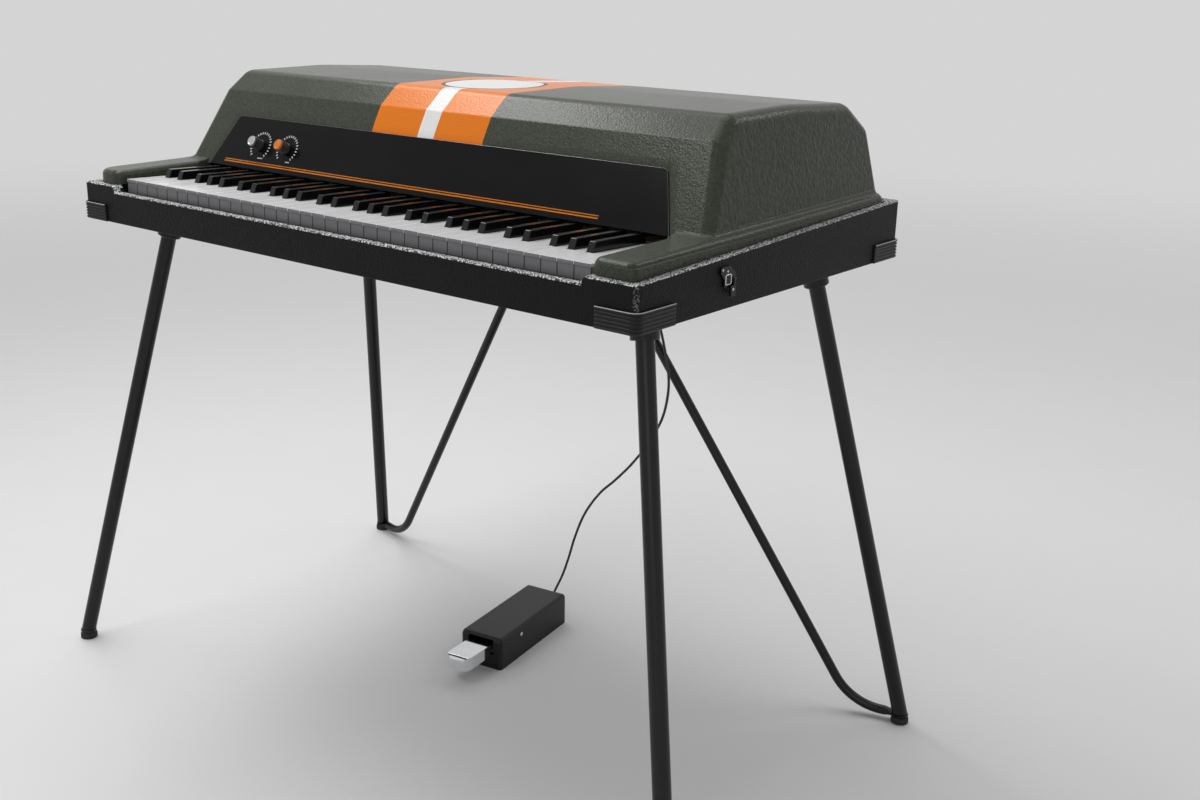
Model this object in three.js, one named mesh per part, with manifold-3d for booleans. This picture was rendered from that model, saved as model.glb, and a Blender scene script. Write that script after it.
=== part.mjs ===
// Sixty-one note electric piano on four splayed tube legs with a sustain pedal
// Lengths are millimetres, X points to the treble, Y to the rear and Z up
// The drawing origin is the middle of the white keys' front top edge

import * as THREE from 'three';
import { mergeVertices } from 'three/addons/utils/BufferGeometryUtils.js';
import Module from 'manifold-3d';

const wasm = await Module();
wasm.setup();

// Fits
const fit = 0.3;
const slack = 1;
const overlap = 1;
const overrun = 5;

// Counts of steps and sides on round shapes
const roundSteps = 4;
const plateSteps = 3;
const noseSteps = 5;
const knobSides = 14;
const pinSides = 12;

// Keyboard
const keyHeight = 760;
const naturalWidth = 23.5;
const naturalsPerOctave = 7;
const octaves = 5;
const octaveWidth = naturalWidth * naturalsPerOctave;
const keyboardHalf = (octaveWidth * octaves + naturalWidth) / 2;
const keyGap = 0.9;
const keyThick = 20;
const keyLength = 400;
const balanceShare = 0.5375;
const balanceY = keyLength * balanceShare;
const headLength = 51;
const sharpWidth = 10.4;
const sharpFoot = 52.2;
const sharpCrest = 57.5;
const sharpRise = 11.7;
const sharpCapEnd = 150;
const sharpSetback = 25;
const sharpLength = keyLength - sharpSetback;
const sharpBarDepth = 15;
const sharpBarLow = 10;
const sharpBarHigh = 18;
const naturalBarDepth = 12;
const keyFall = THREE.MathUtils.degToRad(1.2);

// Tail edges of the seven naturals and centres of the five sharps, as shares of an octave
const tailShares = [
  [0, 0.0888], [0.1653, 0.2632], [0.3398, 0.4286], [0.4286, 0.5112],
  [0.5878, 0.676], [0.7526, 0.8407], [0.9173, 1],
];
const sameShare = 0.001;
const sharpShares = [0.1277, 0.3009, 0.5502, 0.7143, 0.8784];
const naturalNames = ['c', 'd', 'e', 'f', 'g', 'a', 'b'];
const sharpNames = ['c_sharp', 'd_sharp', 'f_sharp', 'g_sharp', 'a_sharp'];
const singleOctave = 2;

// Widths that follow the keyboard
const wellGap = 4;
const wellHalf = keyboardHalf + wellGap;
const railGap = 3;
const railHalf = keyboardHalf + railGap;
const cheekWidth = 62;
const coverHalf = wellHalf + cheekWidth;
const rimShow = 11;
const caseHalf = coverHalf + rimShow;

// Depths that follow the key length
const hammerRailGap = 4;
const hammerRailFront = keyLength + hammerRailGap;
const harpRailGap = 40;
const harpRailFront = keyLength + harpRailGap;
const harpRailDepth = 34;
const harpRailRear = harpRailFront + harpRailDepth;
const harpSpace = 78;
const coverRear = harpRailRear + harpSpace;
const coverSetback = 8;

// Lower case
const caseFront = -20;
const caseRear = coverRear + coverSetback;
const caseBottom = -61.5;
const caseWall = 16;
const caseFloor = 12;
const caseCorner = 8;
const rimFrontZ = -9.5;
const rimRearZ = 14.5;
const railTop = -17.6;
const floorTop = caseBottom + caseFloor;
const rimSlope = (rimRearZ - rimFrontZ) / (caseRear - caseFront);

// Top cover
const coverFront = -10;
const flangeTopZ = 13.6;
const flangeSlope = 0.0275;
const coverWall = 5;
const shellWall = 4;
const cheekEdge = 9;
const cheekCorner = 10;
const hoodFrontY = 142;
const wellPast = 9;
const wellRear = hoodFrontY + wellPast;
const hoodBaseZ = 10;
const hoodLean = 0.537;
const hoodCreaseZ = 114.3;
const facetDepth = 32;
const facetTopZ = 142;
const crownSetback = 182;
const crownZ = 145;
const shoulderSetback = 48;
const shoulderZ = 139.5;
const hoodBackSetback = 5;
const hoodBackZ = 106;
const hoodRearBaseZ = 20;
const flangeLedge = 15;
const hoodEndHalf = coverHalf - flangeLedge;
const hoodEndZ = 18.5;
const hoodEndDraft = 0.24;
const hoodEdge = 15;
const hoodRadii = [9, 24, 500, 30, 16];
const leastRadius = 0.2;
const panelTilt = Math.atan2(1, hoodLean);

// Fascia panel and controls, measured up the sloping face
const panelGap = 1;
const panelHalfLow = keyboardHalf - panelGap;
const panelTaper = 31;
const panelHalfHigh = panelHalfLow - panelTaper;
const panelHeight = 79.5;
const panelFoot = 0.5;
const panelCorner = 8;
const panelProud = 0.6;
const panelThick = 2.5;
const windowInset = 11;
const windowHalf = panelHalfHigh - windowInset;
const windowLow = 12;
const windowHigh = 70;
const knobInset = 100.1;
const knobSpacing = 58.9;
const knobXs = [knobInset - panelHalfLow, knobInset + knobSpacing - panelHalfLow];
const knobRise = 37;
const knobRadius = 9;
const knobLength = 19;
const knobSkirt = 7.6;
const shaftRadius = 3.2;
const shaftReach = 14;
const shaftHole = 4;
const potRadius = 9;
const potDepth = 15;
const bracketEdge = 17;
const bracketThick = 1.5;

// Key frame
const frontRailY = 12;
const frontRailDepth = 24;
const frontRailHigh = 17;
const balanceFoot = 15;
const balanceNeck = 8;
const balanceCrest = 3;
const balanceShoulder = 18;
const backRailDepth = 18;
const runnerWidth = 24;
const runnerHigh = 9;

// Action and harp
const actionGap = 2;
const actionHalf = keyboardHalf + actionGap;
const endBlockIn = wellHalf;
const endBlockThick = 11;
const endBlockOut = endBlockIn + endBlockThick;
const blockNotch = 20;
const railReach = endBlockIn - fit;
const hammerRailDepth = 22;
const hammerLow = 40;
const hammerThick = 6;
const hammerWidth = 8;
const headFront = 262;
const headDepth = 18;
const headTop = 74;
const damperFront = 330;
const damperDepth = 12;
const damperLow = 56;
const damperHigh = 64;
const damperTop = 83;
const damperWidth = 6;
const tineTip = 230;
const tineLow = 88;
const tineThick = 3;
const barTop = 107;
const barWidth = 8;
const rootGap = 26;
const rootBass = harpRailFront - rootGap;
const rootRise = 84;
const rootTreble = rootBass - rootRise;
const rootDepth = 14;
const stripDepth = 16;
const pickupRailFront = 204;
const pickupRailDepth = 8;
const pickupRailLow = 80;
const pickupRailHigh = 98;
const pickupReach = 12;
const pickupSize = 9;
const harpRailLow = 82;
const harpRailHigh = 104;
const harpFrontRailLow = 58;

// Corner guards
const guardLip = 3;
const guardProud = 3.6;
const guardRib = 1.6;
const guardBase = 1.8;
const guardTop = -37;
const guardFrontWing = 57;
const guardSideWing = 70;
const guardRibs = 5;
const ribShares = [0.25, 0.6, 0.8];

// Latches
const latchThick = 2.5;
const leverThick = 3;
const latchFront = 134;
const latchRear = 159;
const latchHigh = -14;
const latchLow = -38;
const latchNeck = 9;
const latchStep = 10;
const latchSlant = 5;
const latchShoulder = 8;
const leverInset = 3;
const leverFront = latchFront + latchNeck + leverInset;
const leverRear = latchRear - leverInset;
const leverLow = latchLow - latchNeck;
const leverHigh = latchLow + latchNeck + slack * 2;
const leverRounds = [3, 3, 1, 1];

// Legs and feet
const legRadius = 11;
const legBore = 9.5;
const legSides = 16;
const legTopInsets = [[65, 101], [68, 105]];
const legFootSpreads = [[82, 16], [58, 30]];
const legTops = [
  [caseHalf - legTopInsets[0][0], caseFront + legTopInsets[0][1]],
  [caseHalf - legTopInsets[1][0], caseRear - legTopInsets[1][1]],
];
const legFeet = [
  [caseHalf + legFootSpreads[0][0], caseFront - legFootSpreads[0][1]],
  [caseHalf + legFootSpreads[1][0], caseRear + legFootSpreads[1][1]],
];
const floorZ = -keyHeight;
const legAimLift = 13;
const legAimZ = floorZ + legAimLift;
const legEndLift = 15.6;
const legEndZ = floorZ + legEndLift;
const padRadius = 13;
const padThick = 10;
const padHigh = floorZ + padThick;
const collarRadius = 12;
const collarThick = 5.3;
const collarHigh = padHigh + collarThick;
const studRadius = 4.5;
const studReach = 14;
const studHigh = padHigh + studReach;
const socketWidth = 90;
const plateThick = 5;
const socketRadius = 17;
const socketLength = 34;

// Braces
const braceRadius = 7;
const braceSides = 10;
const braceSetback = 89.4;
const braceHalf = 47;
const braceTop = [braceHalf, caseRear - braceSetback];
const braceTopZ = caseBottom;
const braceFlatLift = 12.8;
const braceFlatZ = floorZ + braceFlatLift;
const braceRun = 76.2;
const braceBend = 85;
const braceBendSteps = 6;
const eyeRadius = 12;
const eyeThick = 5;
const eyeFlat = 24;
const eyeShares = [[1, 0.9], [0, 1], [-0.7, 0.7], [-1, 0.3]];
const boltClear = 0.4;
const bracketHalfX = 95;
const bracketHalfY = 36;
const bracketSleeve = 11;
const bracketSleeveLength = 42;

// Pedal
const pedalPlace = [-31, 310];
const pedalTurn = THREE.MathUtils.degToRad(9.27);
const pedalHalf = 38;
const pedalLength = 202;
const pedalHigh = 53;
const pedalWall = 4;
const pedalNose = 8;
const pedalCorner = 6;
const treadleHalf = 21;
const treadleReach = 68;
const treadleThick = 3;
const treadleHigh = 45;
const treadleRoot = 60;
const treadleRootZ = 40;
const treadleTipZ = 27;
const treadleRound = 14;
const treadleNose = 4.5;
const treadleCurl = 13.5;
const barrelRadius = 4.5;
const windowSlack = 2.5;
const windowBottom = 24;
const cordEntry = 32;

// Pedal cord, jack and plug
const cordRadius = 2;
const cordSides = 8;
const cordSteps = 60;
const jackX = 165;
const jackSetback = 90;
const jackPlace = [jackX, caseRear - jackSetback];
const jackRadius = 8;
const jackFlange = 12;
const jackBore = 3.6;
const jackDrop = 4;
const plugRadius = 5.5;
const plugLength = 40;
const plugNeck = 3;
const plugTaper = 11;
const plugTip = 3.2;
const plugTipLength = 14;
const cordHang = [
  [165, 470, -125], [172, 470, -170], [188, 470, -222], [198, 470, -262], [199, 471, -292],
  [189, 474, -335], [164, 478, -380], [127, 484, -428], [89, 492, -467], [53, 500, -500.6],
  [16, 509, -548], [-12, 519, -600], [-34, 529, -650], [-54, 538, -690], [-68, 541, -716],
];

// Finishes as colour, roughness and metalness
const finishes = {
  tolex: [0x141414, 0.85, 0],
  cover: [0x55584c, 0.3, 0],
  panel: [0x15151a, 0.35, 0],
  ivory: [0xe6e6ea, 0.2, 0],
  ebony: [0x0b0b0c, 0.2, 0],
  wood: [0xb08a5a, 0.6, 0],
  steel: [0xb8bcc0, 0.35, 0.9],
  chrome: [0xd8dadd, 0.12, 1],
  blackSteel: [0x17171a, 0.4, 0.2],
  plastic: [0x18181a, 0.5, 0],
  rubber: [0x101010, 0.8, 0],
  orange: [0xd8641c, 0.4, 0],
  grey: [0xa8aab0, 0.4, 0.2],
};

// Turn a closed geometry into a solid and back
function solidOf(source) {
  const geometry = source.index ? source.toNonIndexed() : source.clone();
  geometry.deleteAttribute('normal');
  geometry.deleteAttribute('uv');
  const merged = mergeVertices(geometry);
  const found = [];
  const ids = merged.index.array;
  for (let i = 0; i < ids.length; i += 3) {
    const [a, b, c] = [ids[i], ids[i + 1], ids[i + 2]];
    if (a !== b && b !== c && c !== a) {
      found.push(a, b, c);
    }
  }
  return new wasm.Manifold(new wasm.Mesh({
    numProp: 3,
    vertProperties: new Float32Array(merged.attributes.position.array),
    triVerts: new Uint32Array(found),
  }));
}

function geometryOf(solid) {
  const mesh = solid.getMesh();
  const geometry = new THREE.BufferGeometry();
  geometry.setAttribute('position', new THREE.BufferAttribute(mesh.vertProperties.slice(), 3));
  geometry.setIndex(new THREE.BufferAttribute(mesh.triVerts.slice(), 1));
  geometry.computeVertexNormals();
  return geometry;
}

// Straight sided solids
function box(x0, x1, y0, y1, z0, z1) {
  const geometry = new THREE.BoxGeometry(x1 - x0, y1 - y0, z1 - z0);
  geometry.translate((x0 + x1) / 2, (y0 + y1) / 2, (z0 + z1) / 2);
  return solidOf(geometry);
}

function extrusion(points, depth) {
  const shape = new THREE.Shape(points.map(([u, v]) => new THREE.Vector2(u, v)));
  return new THREE.ExtrudeGeometry(shape, { depth, bevelEnabled: false });
}

// An outline in Y and Z carried along X
function prismX(points, x0, x1) {
  const geometry = extrusion(points, x1 - x0);
  const axes = [new THREE.Vector3(0, 1, 0), new THREE.Vector3(0, 0, 1), new THREE.Vector3(1, 0, 0)];
  geometry.applyMatrix4(new THREE.Matrix4().makeBasis(...axes));
  geometry.translate(x0, 0, 0);
  return solidOf(geometry);
}

// An outline in X and Y carried along Z
function prismZ(points, z0, z1) {
  const geometry = extrusion(points, z1 - z0);
  geometry.translate(0, 0, z0);
  return solidOf(geometry);
}

// A turned solid about the Z axis from radius and height pairs
function turned(points, sides) {
  const geometry = new THREE.LatheGeometry(points.map(([r, z]) => new THREE.Vector2(r, z)), sides);
  geometry.rotateX(Math.PI / 2);
  return solidOf(geometry);
}

// A round bar from one point to another
function rod(from, to, radius, sides) {
  const start = new THREE.Vector3(...from);
  const along = new THREE.Vector3(...to).sub(start);
  const geometry = new THREE.CylinderGeometry(radius, radius, along.length(), sides);
  const up = new THREE.Vector3(0, 1, 0);
  const turn = new THREE.Quaternion().setFromUnitVectors(up, along.clone().normalize());
  geometry.applyQuaternion(turn);
  const middle = start.addScaledVector(along, 1 / 2);
  geometry.translate(middle.x, middle.y, middle.z);
  return solidOf(geometry);
}

// A skin over a row of rings with the same count of points, closed at both ends
function loft(rings, outline) {
  const count = rings[0].length;
  const positions = rings.flat().flat();
  const faces = [];
  for (let ring = 0; ring + 1 < rings.length; ring += 1) {
    for (let i = 0; i < count; i += 1) {
      const a = ring * count + i;
      const b = ring * count + (i + 1) % count;
      faces.push(a, b, b + count, a, b + count, a + count);
    }
  }
  const flat = outline.map(([u, v]) => new THREE.Vector2(u, v));
  const last = (rings.length - 1) * count;
  const way = THREE.ShapeUtils.area(flat);
  THREE.ShapeUtils.triangulateShape(flat, []).forEach(([a, p, q]) => {
    const same = THREE.ShapeUtils.area([flat[a], flat[p], flat[q]]) * way > 0;
    const [b, c] = same ? [p, q] : [q, p];
    faces.push(a, c, b, last + a, last + b, last + c);
  });
  const points = rings.flat().map((point) => new THREE.Vector3(...point));
  let volume = 0;
  for (let i = 0; i < faces.length; i += 3) {
    volume += points[faces[i]].dot(points[faces[i + 1]].clone().cross(points[faces[i + 2]]));
  }
  if (volume < 0) {
    faces.reverse();
  }
  const geometry = new THREE.BufferGeometry();
  geometry.setAttribute('position', new THREE.Float32BufferAttribute(positions, 3));
  geometry.setIndex(faces);
  return solidOf(geometry);
}

function join(solids) {
  return solids.reduce((whole, solid) => whole.add(solid));
}

// Rounded corner points between two straight edges
function roundedCorner(before, corner, after, radius, steps) {
  const here = new THREE.Vector2(...corner);
  const back = new THREE.Vector2(...before).sub(here).normalize();
  const ahead = new THREE.Vector2(...after).sub(here).normalize();
  const half = Math.acos(THREE.MathUtils.clamp(back.dot(ahead), -1, 1)) / 2;
  const middle = back.clone().add(ahead).normalize();
  const centre = here.clone().addScaledVector(middle, radius / Math.sin(half));
  const start = here.clone().addScaledVector(back, radius / Math.tan(half)).sub(centre);
  const end = here.clone().addScaledVector(ahead, radius / Math.tan(half)).sub(centre);
  const turn = Math.atan2(start.cross(end), start.dot(end));
  return Array.from({ length: steps + 1 }, (_, i) => {
    const ray = start.clone().rotateAround(new THREE.Vector2(), (turn * i) / steps).add(centre);
    return [ray.x, ray.y];
  });
}

function roundedPolygon(corners, radii, steps) {
  return corners.flatMap((corner, i) => {
    const before = corners[(i + corners.length - 1) % corners.length];
    const after = corners[(i + 1) % corners.length];
    return radii[i] > 0 ? roundedCorner(before, corner, after, radii[i], steps) : [corner];
  });
}

// Where two straight lines cross, each given by a point and a direction
function crossing(p, d, q, e) {
  const along = ((q[0] - p[0]) * e[1] - (q[1] - p[1]) * e[0]) / (d[0] * e[1] - d[1] * e[0]);
  return [p[0] + d[0] * along, p[1] + d[1] * along];
}

// An outline with every edge but the last moved inwards
function insetCorners(corners, inset) {
  const edges = corners.map((corner, i) => {
    const next = corners[(i + 1) % corners.length];
    const way = [next[0] - corner[0], next[1] - corner[1]];
    const size = Math.hypot(...way);
    const shift = i + 1 < corners.length ? inset : 0;
    return [[corner[0] + (way[1] / size) * shift, corner[1] - (way[0] / size) * shift], way];
  });
  return edges.map((edge, i) => {
    const before = edges[(i + edges.length - 1) % edges.length];
    return crossing(...before, ...edge);
  });
}

// A shell form from an outline in Y and Z whose two ends are rounded over and may lean inwards
function roundedForm(corners, radii, edge, halfAt, steps) {
  const rings = [];
  let outline = [];
  for (const side of [-1, 1]) {
    for (let i = 0; i <= steps; i += 1) {
      const share = side < 0 ? i / steps : 1 - i / steps;
      const angle = (share * Math.PI) / 2;
      const inset = edge * (1 - Math.sin(angle));
      const depth = edge * (1 - Math.cos(angle));
      const inner = insetCorners(corners, inset);
      const rounded = radii.map((r) => (r > 0 ? Math.max(leastRadius, r - inset) : 0));
      outline = roundedPolygon(inner, rounded, steps);
      rings.push(outline.map(([y, z]) => [side * (halfAt(z) - depth), y, z]));
    }
  }
  return loft(rings, outline);
}

// Key positions across the keyboard
function naturalSpan(octave, index) {
  const left = -keyboardHalf + octave * octaveWidth;
  const topNote = octave === octaves;
  const shares = topNote ? [0, 1 / naturalsPerOctave] : tailShares[index];
  const edges = [index / naturalsPerOctave, (index + 1) / naturalsPerOctave];
  const trims = shares.map((share, i) => (Math.abs(share - edges[i]) < sameShare ? keyGap / 2 : 0));
  return {
    head: [left + edges[0] * octaveWidth + keyGap / 2, left + edges[1] * octaveWidth - keyGap / 2],
    tail: [left + shares[0] * octaveWidth + trims[0], left + shares[1] * octaveWidth - trims[1]],
  };
}

function sharpCentre(octave, index) {
  return -keyboardHalf + (octave + sharpShares[index]) * octaveWidth;
}

function naturalKey(octave, index) {
  const { head, tail } = naturalSpan(octave, index);
  const right = tail[1] < head[1] ? [[head[1], headLength], [tail[1], headLength]] : [];
  const left = tail[0] > head[0] ? [[tail[0], headLength], [head[0], headLength]] : [];
  const points = [
    [head[0], 0], [head[1], 0], ...right, [tail[1], keyLength], [tail[0], keyLength], ...left,
  ];
  return prismZ(points, -keyThick, 0);
}

function sharpKey(octave, index, raised) {
  const x = sharpCentre(octave, index);
  const step = sharpLength - sharpBarDepth;
  const rear = raised
    ? [[sharpLength, sharpBarHigh], [step, sharpBarHigh], [step, 0]]
    : [[sharpLength, 0]];
  const points = [
    [sharpFoot, -keyThick], [sharpLength, -keyThick], ...rear,
    [sharpCapEnd, 0], [sharpCapEnd - slack, sharpRise], [sharpCrest, sharpRise], [sharpFoot, 0],
  ];
  return prismX(points, x - sharpWidth / 2, x + sharpWidth / 2);
}

// Seven or eight white keys on one rear bar
function naturalSet(octave) {
  const keys = naturalNames.map((_, index) => naturalKey(octave, index));
  const left = naturalSpan(octave, 0).tail[0];
  let right = naturalSpan(octave, naturalsPerOctave - 1).tail[1];
  if (octave === octaves - 1) {
    keys.push(naturalKey(octaves, 0));
    right = naturalSpan(octaves, 0).tail[1];
  }
  keys.push(box(left, right, keyLength - naturalBarDepth, keyLength, -keyThick, 0));
  return join(keys);
}

// Five black keys on one raised rear bar
function sharpSet(octave) {
  const keys = sharpNames.map((_, index) => sharpKey(octave, index, true));
  const left = sharpCentre(octave, 0) - sharpWidth / 2;
  const right = sharpCentre(octave, sharpNames.length - 1) + sharpWidth / 2;
  keys.push(box(left, right, sharpLength - sharpBarDepth, sharpLength, sharpBarLow, sharpBarHigh));
  return join(keys);
}

// Middle of every key stick, bass to treble
function stickCentres() {
  const found = [];
  for (let octave = 0; octave < octaves; octave += 1) {
    naturalNames.forEach((_, index) => {
      const { tail } = naturalSpan(octave, index);
      found.push((tail[0] + tail[1]) / 2);
    });
    sharpNames.forEach((_, index) => found.push(sharpCentre(octave, index)));
  }
  const { tail } = naturalSpan(octaves, 0);
  found.push((tail[0] + tail[1]) / 2);
  return found.sort((a, b) => a - b);
}

// Case tub with a sloping rim and a low front rail
function lowerCase() {
  const side = [
    [caseFront, caseBottom], [caseRear, caseBottom], [caseRear, rimRearZ], [caseFront, rimFrontZ],
  ];
  const plan = [
    [-caseHalf, caseFront], [caseHalf, caseFront], [caseHalf, caseRear], [-caseHalf, caseRear],
  ];
  const high = rimRearZ + caseWall;
  const radii = plan.map(() => caseCorner);
  const rounded = prismZ(roundedPolygon(plan, radii, roundSteps), caseBottom, high);
  const inner = caseHalf - caseWall;
  const hollow = box(-inner, inner, caseFront + caseWall, caseRear - caseWall, floorTop, high);
  const rail = [caseFront - overlap, caseFront + caseWall + overlap];
  const notch = box(-railHalf, railHalf, ...rail, railTop, high);
  const ends = [[...jackPlace, caseBottom - overlap], [...jackPlace, floorTop + overlap]];
  const jackHole = rod(...ends, jackRadius + fit, legSides);
  const cuts = join([hollow, notch, jackHole]);
  return prismX(side, -caseHalf, caseHalf).intersect(rounded).subtract(cuts);
}

// Key frame with front, balance and back rails on three runners
function keyFrame() {
  const foot = floorTop + fit;
  const frontStop = foot + frontRailHigh;
  const frontRail = [
    [frontRailY, foot], [frontRailY + frontRailDepth, foot],
    [frontRailY + frontRailDepth, frontStop], [frontRailY, frontStop],
  ];
  const drop = (y) => -keyThick - y * Math.tan(keyFall) - fit - fit / 2;
  const crest = drop(balanceY + balanceCrest);
  const balance = [
    [balanceY - balanceFoot, foot], [balanceY + balanceFoot, foot],
    [balanceY + balanceNeck, foot + balanceShoulder], [balanceY + balanceCrest, crest],
    [balanceY - balanceCrest, crest], [balanceY - balanceNeck, foot + balanceShoulder],
  ];
  const backEnd = keyLength - slack;
  const backStart = backEnd - backRailDepth;
  const back = [
    [backStart, foot], [backEnd, foot], [backEnd, drop(keyLength)], [backStart, drop(keyLength)],
  ];
  const rails = [frontRail, balance, back].map((points) => prismX(points, -actionHalf, actionHalf));
  const runners = [-1, 0, 1].map((side) => {
    const x = side * (actionHalf - runnerWidth);
    return box(x - runnerWidth / 2, x + runnerWidth / 2, frontRailY, backEnd, foot, foot + runnerHigh);
  });
  return join([...rails, ...runners]);
}

// Green cover moulding with cheeks, flange and hood
function flangeTop(y) {
  return flangeTopZ + flangeSlope * y;
}

function rimAt(y) {
  return rimFrontZ + rimSlope * (y - caseFront);
}

function hoodHalf(z, wall) {
  return hoodEndHalf - wall * Math.hypot(1, hoodEndDraft) - hoodEndDraft * (z - hoodEndZ);
}

function hoodCorners() {
  const creaseY = hoodFrontY + hoodLean * (hoodCreaseZ - hoodBaseZ);
  return [
    [hoodFrontY, hoodBaseZ],
    [creaseY, hoodCreaseZ],
    [creaseY + facetDepth, facetTopZ],
    [coverRear - crownSetback, crownZ],
    [coverRear - shoulderSetback, shoulderZ],
    [coverRear - hoodBackSetback, hoodBackZ],
    [coverRear, hoodRearBaseZ],
  ];
}

function hoodSolid() {
  const radii = [0, ...hoodRadii, 0];
  return roundedForm(hoodCorners(), radii, hoodEdge, (z) => hoodHalf(z, 0), roundSteps);
}

function hoodCavity() {
  const inner = insetCorners(hoodCorners(), coverWall);
  const low = rimFrontZ - caseWall;
  inner[inner.length - 1][1] = low;
  const front = inner[0][0];
  const corners = [[front, low], ...inner];
  const radii = [0, 0, ...hoodRadii.map((r) => Math.max(r - coverWall, leastRadius)), 0];
  const edge = hoodEdge - coverWall;
  const halfAt = (z) => hoodHalf(Math.max(z, hoodBaseZ), coverWall);
  return roundedForm(corners, radii, edge, halfAt, roundSteps);
}

function coverBase() {
  const corners = [
    [coverFront, rimAt(coverFront) + fit],
    [coverFront, flangeTop(coverFront)],
    [coverRear, flangeTop(coverRear)],
    [coverRear, rimAt(coverRear) + fit],
  ];
  const radii = [0, cheekCorner, cheekCorner, 0];
  return roundedForm(corners, radii, cheekEdge, () => coverHalf, roundSteps);
}

function keyWell() {
  const arc = Array.from({ length: roundSteps + 1 }, (_, i) => {
    const angle = (i / roundSteps) * (Math.PI / 2);
    const x = wellHalf + cheekCorner - cheekCorner * Math.cos(angle);
    return [x, coverFront + cheekCorner - cheekCorner * Math.sin(angle)];
  });
  const right = [[wellHalf, wellRear], ...arc, [wellHalf + cheekCorner, coverFront - cheekCorner]];
  const left = right.map(([x, y]) => [-x, y]).reverse();
  return prismZ([...right, ...left].reverse(), rimFrontZ - caseWall, crownZ);
}

function cheekCavity(side) {
  const low = rimFrontZ - caseWall;
  const under = (y) => flangeTop(y) - shellWall;
  const front = coverFront + shellWall;
  const rear = coverRear - shellWall;
  const points = [
    [front, low], [rear, low], [rear, under(rear)],
    [front + cheekCorner, under(front)], [front, under(front) - cheekCorner],
  ];
  const edges = [side * (wellHalf + shellWall), side * (coverHalf - shellWall)].sort((a, b) => a - b);
  return prismX(points, ...edges);
}

function panelOutline(grow) {
  const corners = [
    [-panelHalfLow - grow, panelFoot - grow], [panelHalfLow + grow, panelFoot - grow],
    [panelHalfHigh + grow, panelHeight + grow], [-panelHalfHigh - grow, panelHeight + grow],
  ];
  return roundedPolygon(corners, [0, 0, panelCorner, panelCorner], roundSteps);
}

// Bring a solid drawn on the sloping face to its place
function onFace(solid) {
  const geometry = geometryOf(solid);
  geometry.rotateX(panelTilt);
  geometry.translate(0, hoodFrontY, hoodBaseZ);
  return solidOf(geometry);
}

function topCover() {
  const shell = coverBase().subtract(keyWell()).add(hoodSolid());
  const recess = prismZ(panelOutline(fit), panelProud - panelThick - fit, coverWall);
  const window = box(-windowHalf, windowHalf, windowLow, windowHigh, -coverWall - slack, coverWall);
  const cuts = [hoodCavity(), cheekCavity(-1), cheekCavity(1), onFace(join([recess, window]))];
  return shell.subtract(join(cuts));
}

function fasciaPanel() {
  const plate = prismZ(panelOutline(0), panelProud - panelThick, panelProud);
  const holes = knobXs.map((x) => (
    rod([x, knobRise, -overrun], [x, knobRise, overrun], shaftHole, pinSides)));
  return onFace(plate.subtract(join(holes)));
}

// Two potentiometers on one strip behind the panel
function controlPots() {
  const back = panelProud - panelThick - fit;
  const strip = box(knobXs[0] - bracketEdge, knobXs[1] + bracketEdge,
    knobRise - bracketEdge, knobRise + bracketEdge, back - bracketThick, back);
  const at = (x, depth) => [x, knobRise, depth];
  const parts = knobXs.flatMap((x) => [
    rod(at(x, back - bracketThick - potDepth), at(x, back - bracketThick / 2), potRadius, legSides),
    rod(at(x, back - bracketThick), at(x, shaftReach), shaftRadius, pinSides),
  ]);
  return onFace(join([strip, ...parts]));
}

function knob(x) {
  const low = panelProud + slack / 2;
  const high = low + knobLength;
  const bore = shaftRadius + fit;
  const depth = shaftReach + fit;
  const skirt = low + knobLength / 2;
  const profile = [
    [bore, low], [knobSkirt, low], [knobSkirt, skirt], [knobRadius, skirt], [knobRadius, high - slack],
    [knobRadius - slack, high], [0, high], [0, depth], [bore, depth], [bore, low],
  ];
  return onFace(turned(profile, knobSides).translate([x, knobRise, 0]));
}

// Wooden harp with its two end blocks standing on the case floor
function harpFrame() {
  const foot = floorTop + fit;
  const side = [
    [pickupRailFront, foot], [harpRailRear, foot], [harpRailRear, harpRailHigh],
    [pickupRailFront + blockNotch, pickupRailHigh], [pickupRailFront, pickupRailLow],
  ];
  const blocks = [-1, 1].map((way) => {
    const edges = [way * endBlockIn, way * endBlockOut].sort((a, b) => a - b);
    return prismX(side, ...edges);
  });
  const reach = endBlockIn + overlap;
  const rear = box(-reach, reach, harpRailFront, harpRailRear, harpRailLow, harpRailHigh);
  const strip = [pickupRailFront, pickupRailFront + stripDepth];
  const front = box(-reach, reach, ...strip, harpFrontRailLow, pickupRailLow - fit);
  return join([...blocks, rear, front]);
}

// Tone bars over their tines, shorter towards the treble, on one slanting strip
function rootAt(x) {
  return rootBass + (rootTreble - rootBass) * ((x + railReach) / (2 * railReach));
}

function toneBarSet() {
  const bars = stickCentres().map((x) => {
    const root = rootAt(x);
    const points = [
      [tineTip, tineLow], [root + rootDepth, tineLow], [root + rootDepth, barTop],
      [root, barTop], [root, tineLow + tineThick], [tineTip, tineLow + tineThick],
    ];
    return prismX(points, x - barWidth / 2, x + barWidth / 2);
  });
  const ends = [-railReach, railReach].map((x) => [x, rootAt(x) + rootDepth / 2]);
  const far = ends.map(([x, y]) => [x, y + stripDepth]).reverse();
  const strip = prismZ([...ends, ...far], tineLow, barTop);
  return join([...bars, strip]);
}

function pickupRail() {
  const bar = box(-railReach, railReach, pickupRailFront, pickupRailFront + pickupRailDepth,
    pickupRailLow, pickupRailHigh);
  const middle = tineLow + tineThick / 2;
  const pickups = stickCentres().map((x) => box(x - pickupSize / 2, x + pickupSize / 2,
    pickupRailFront, pickupRailFront + pickupRailDepth + pickupReach,
    middle - pickupSize / 2, middle + pickupSize / 2));
  return join([bar, ...pickups]);
}

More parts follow.
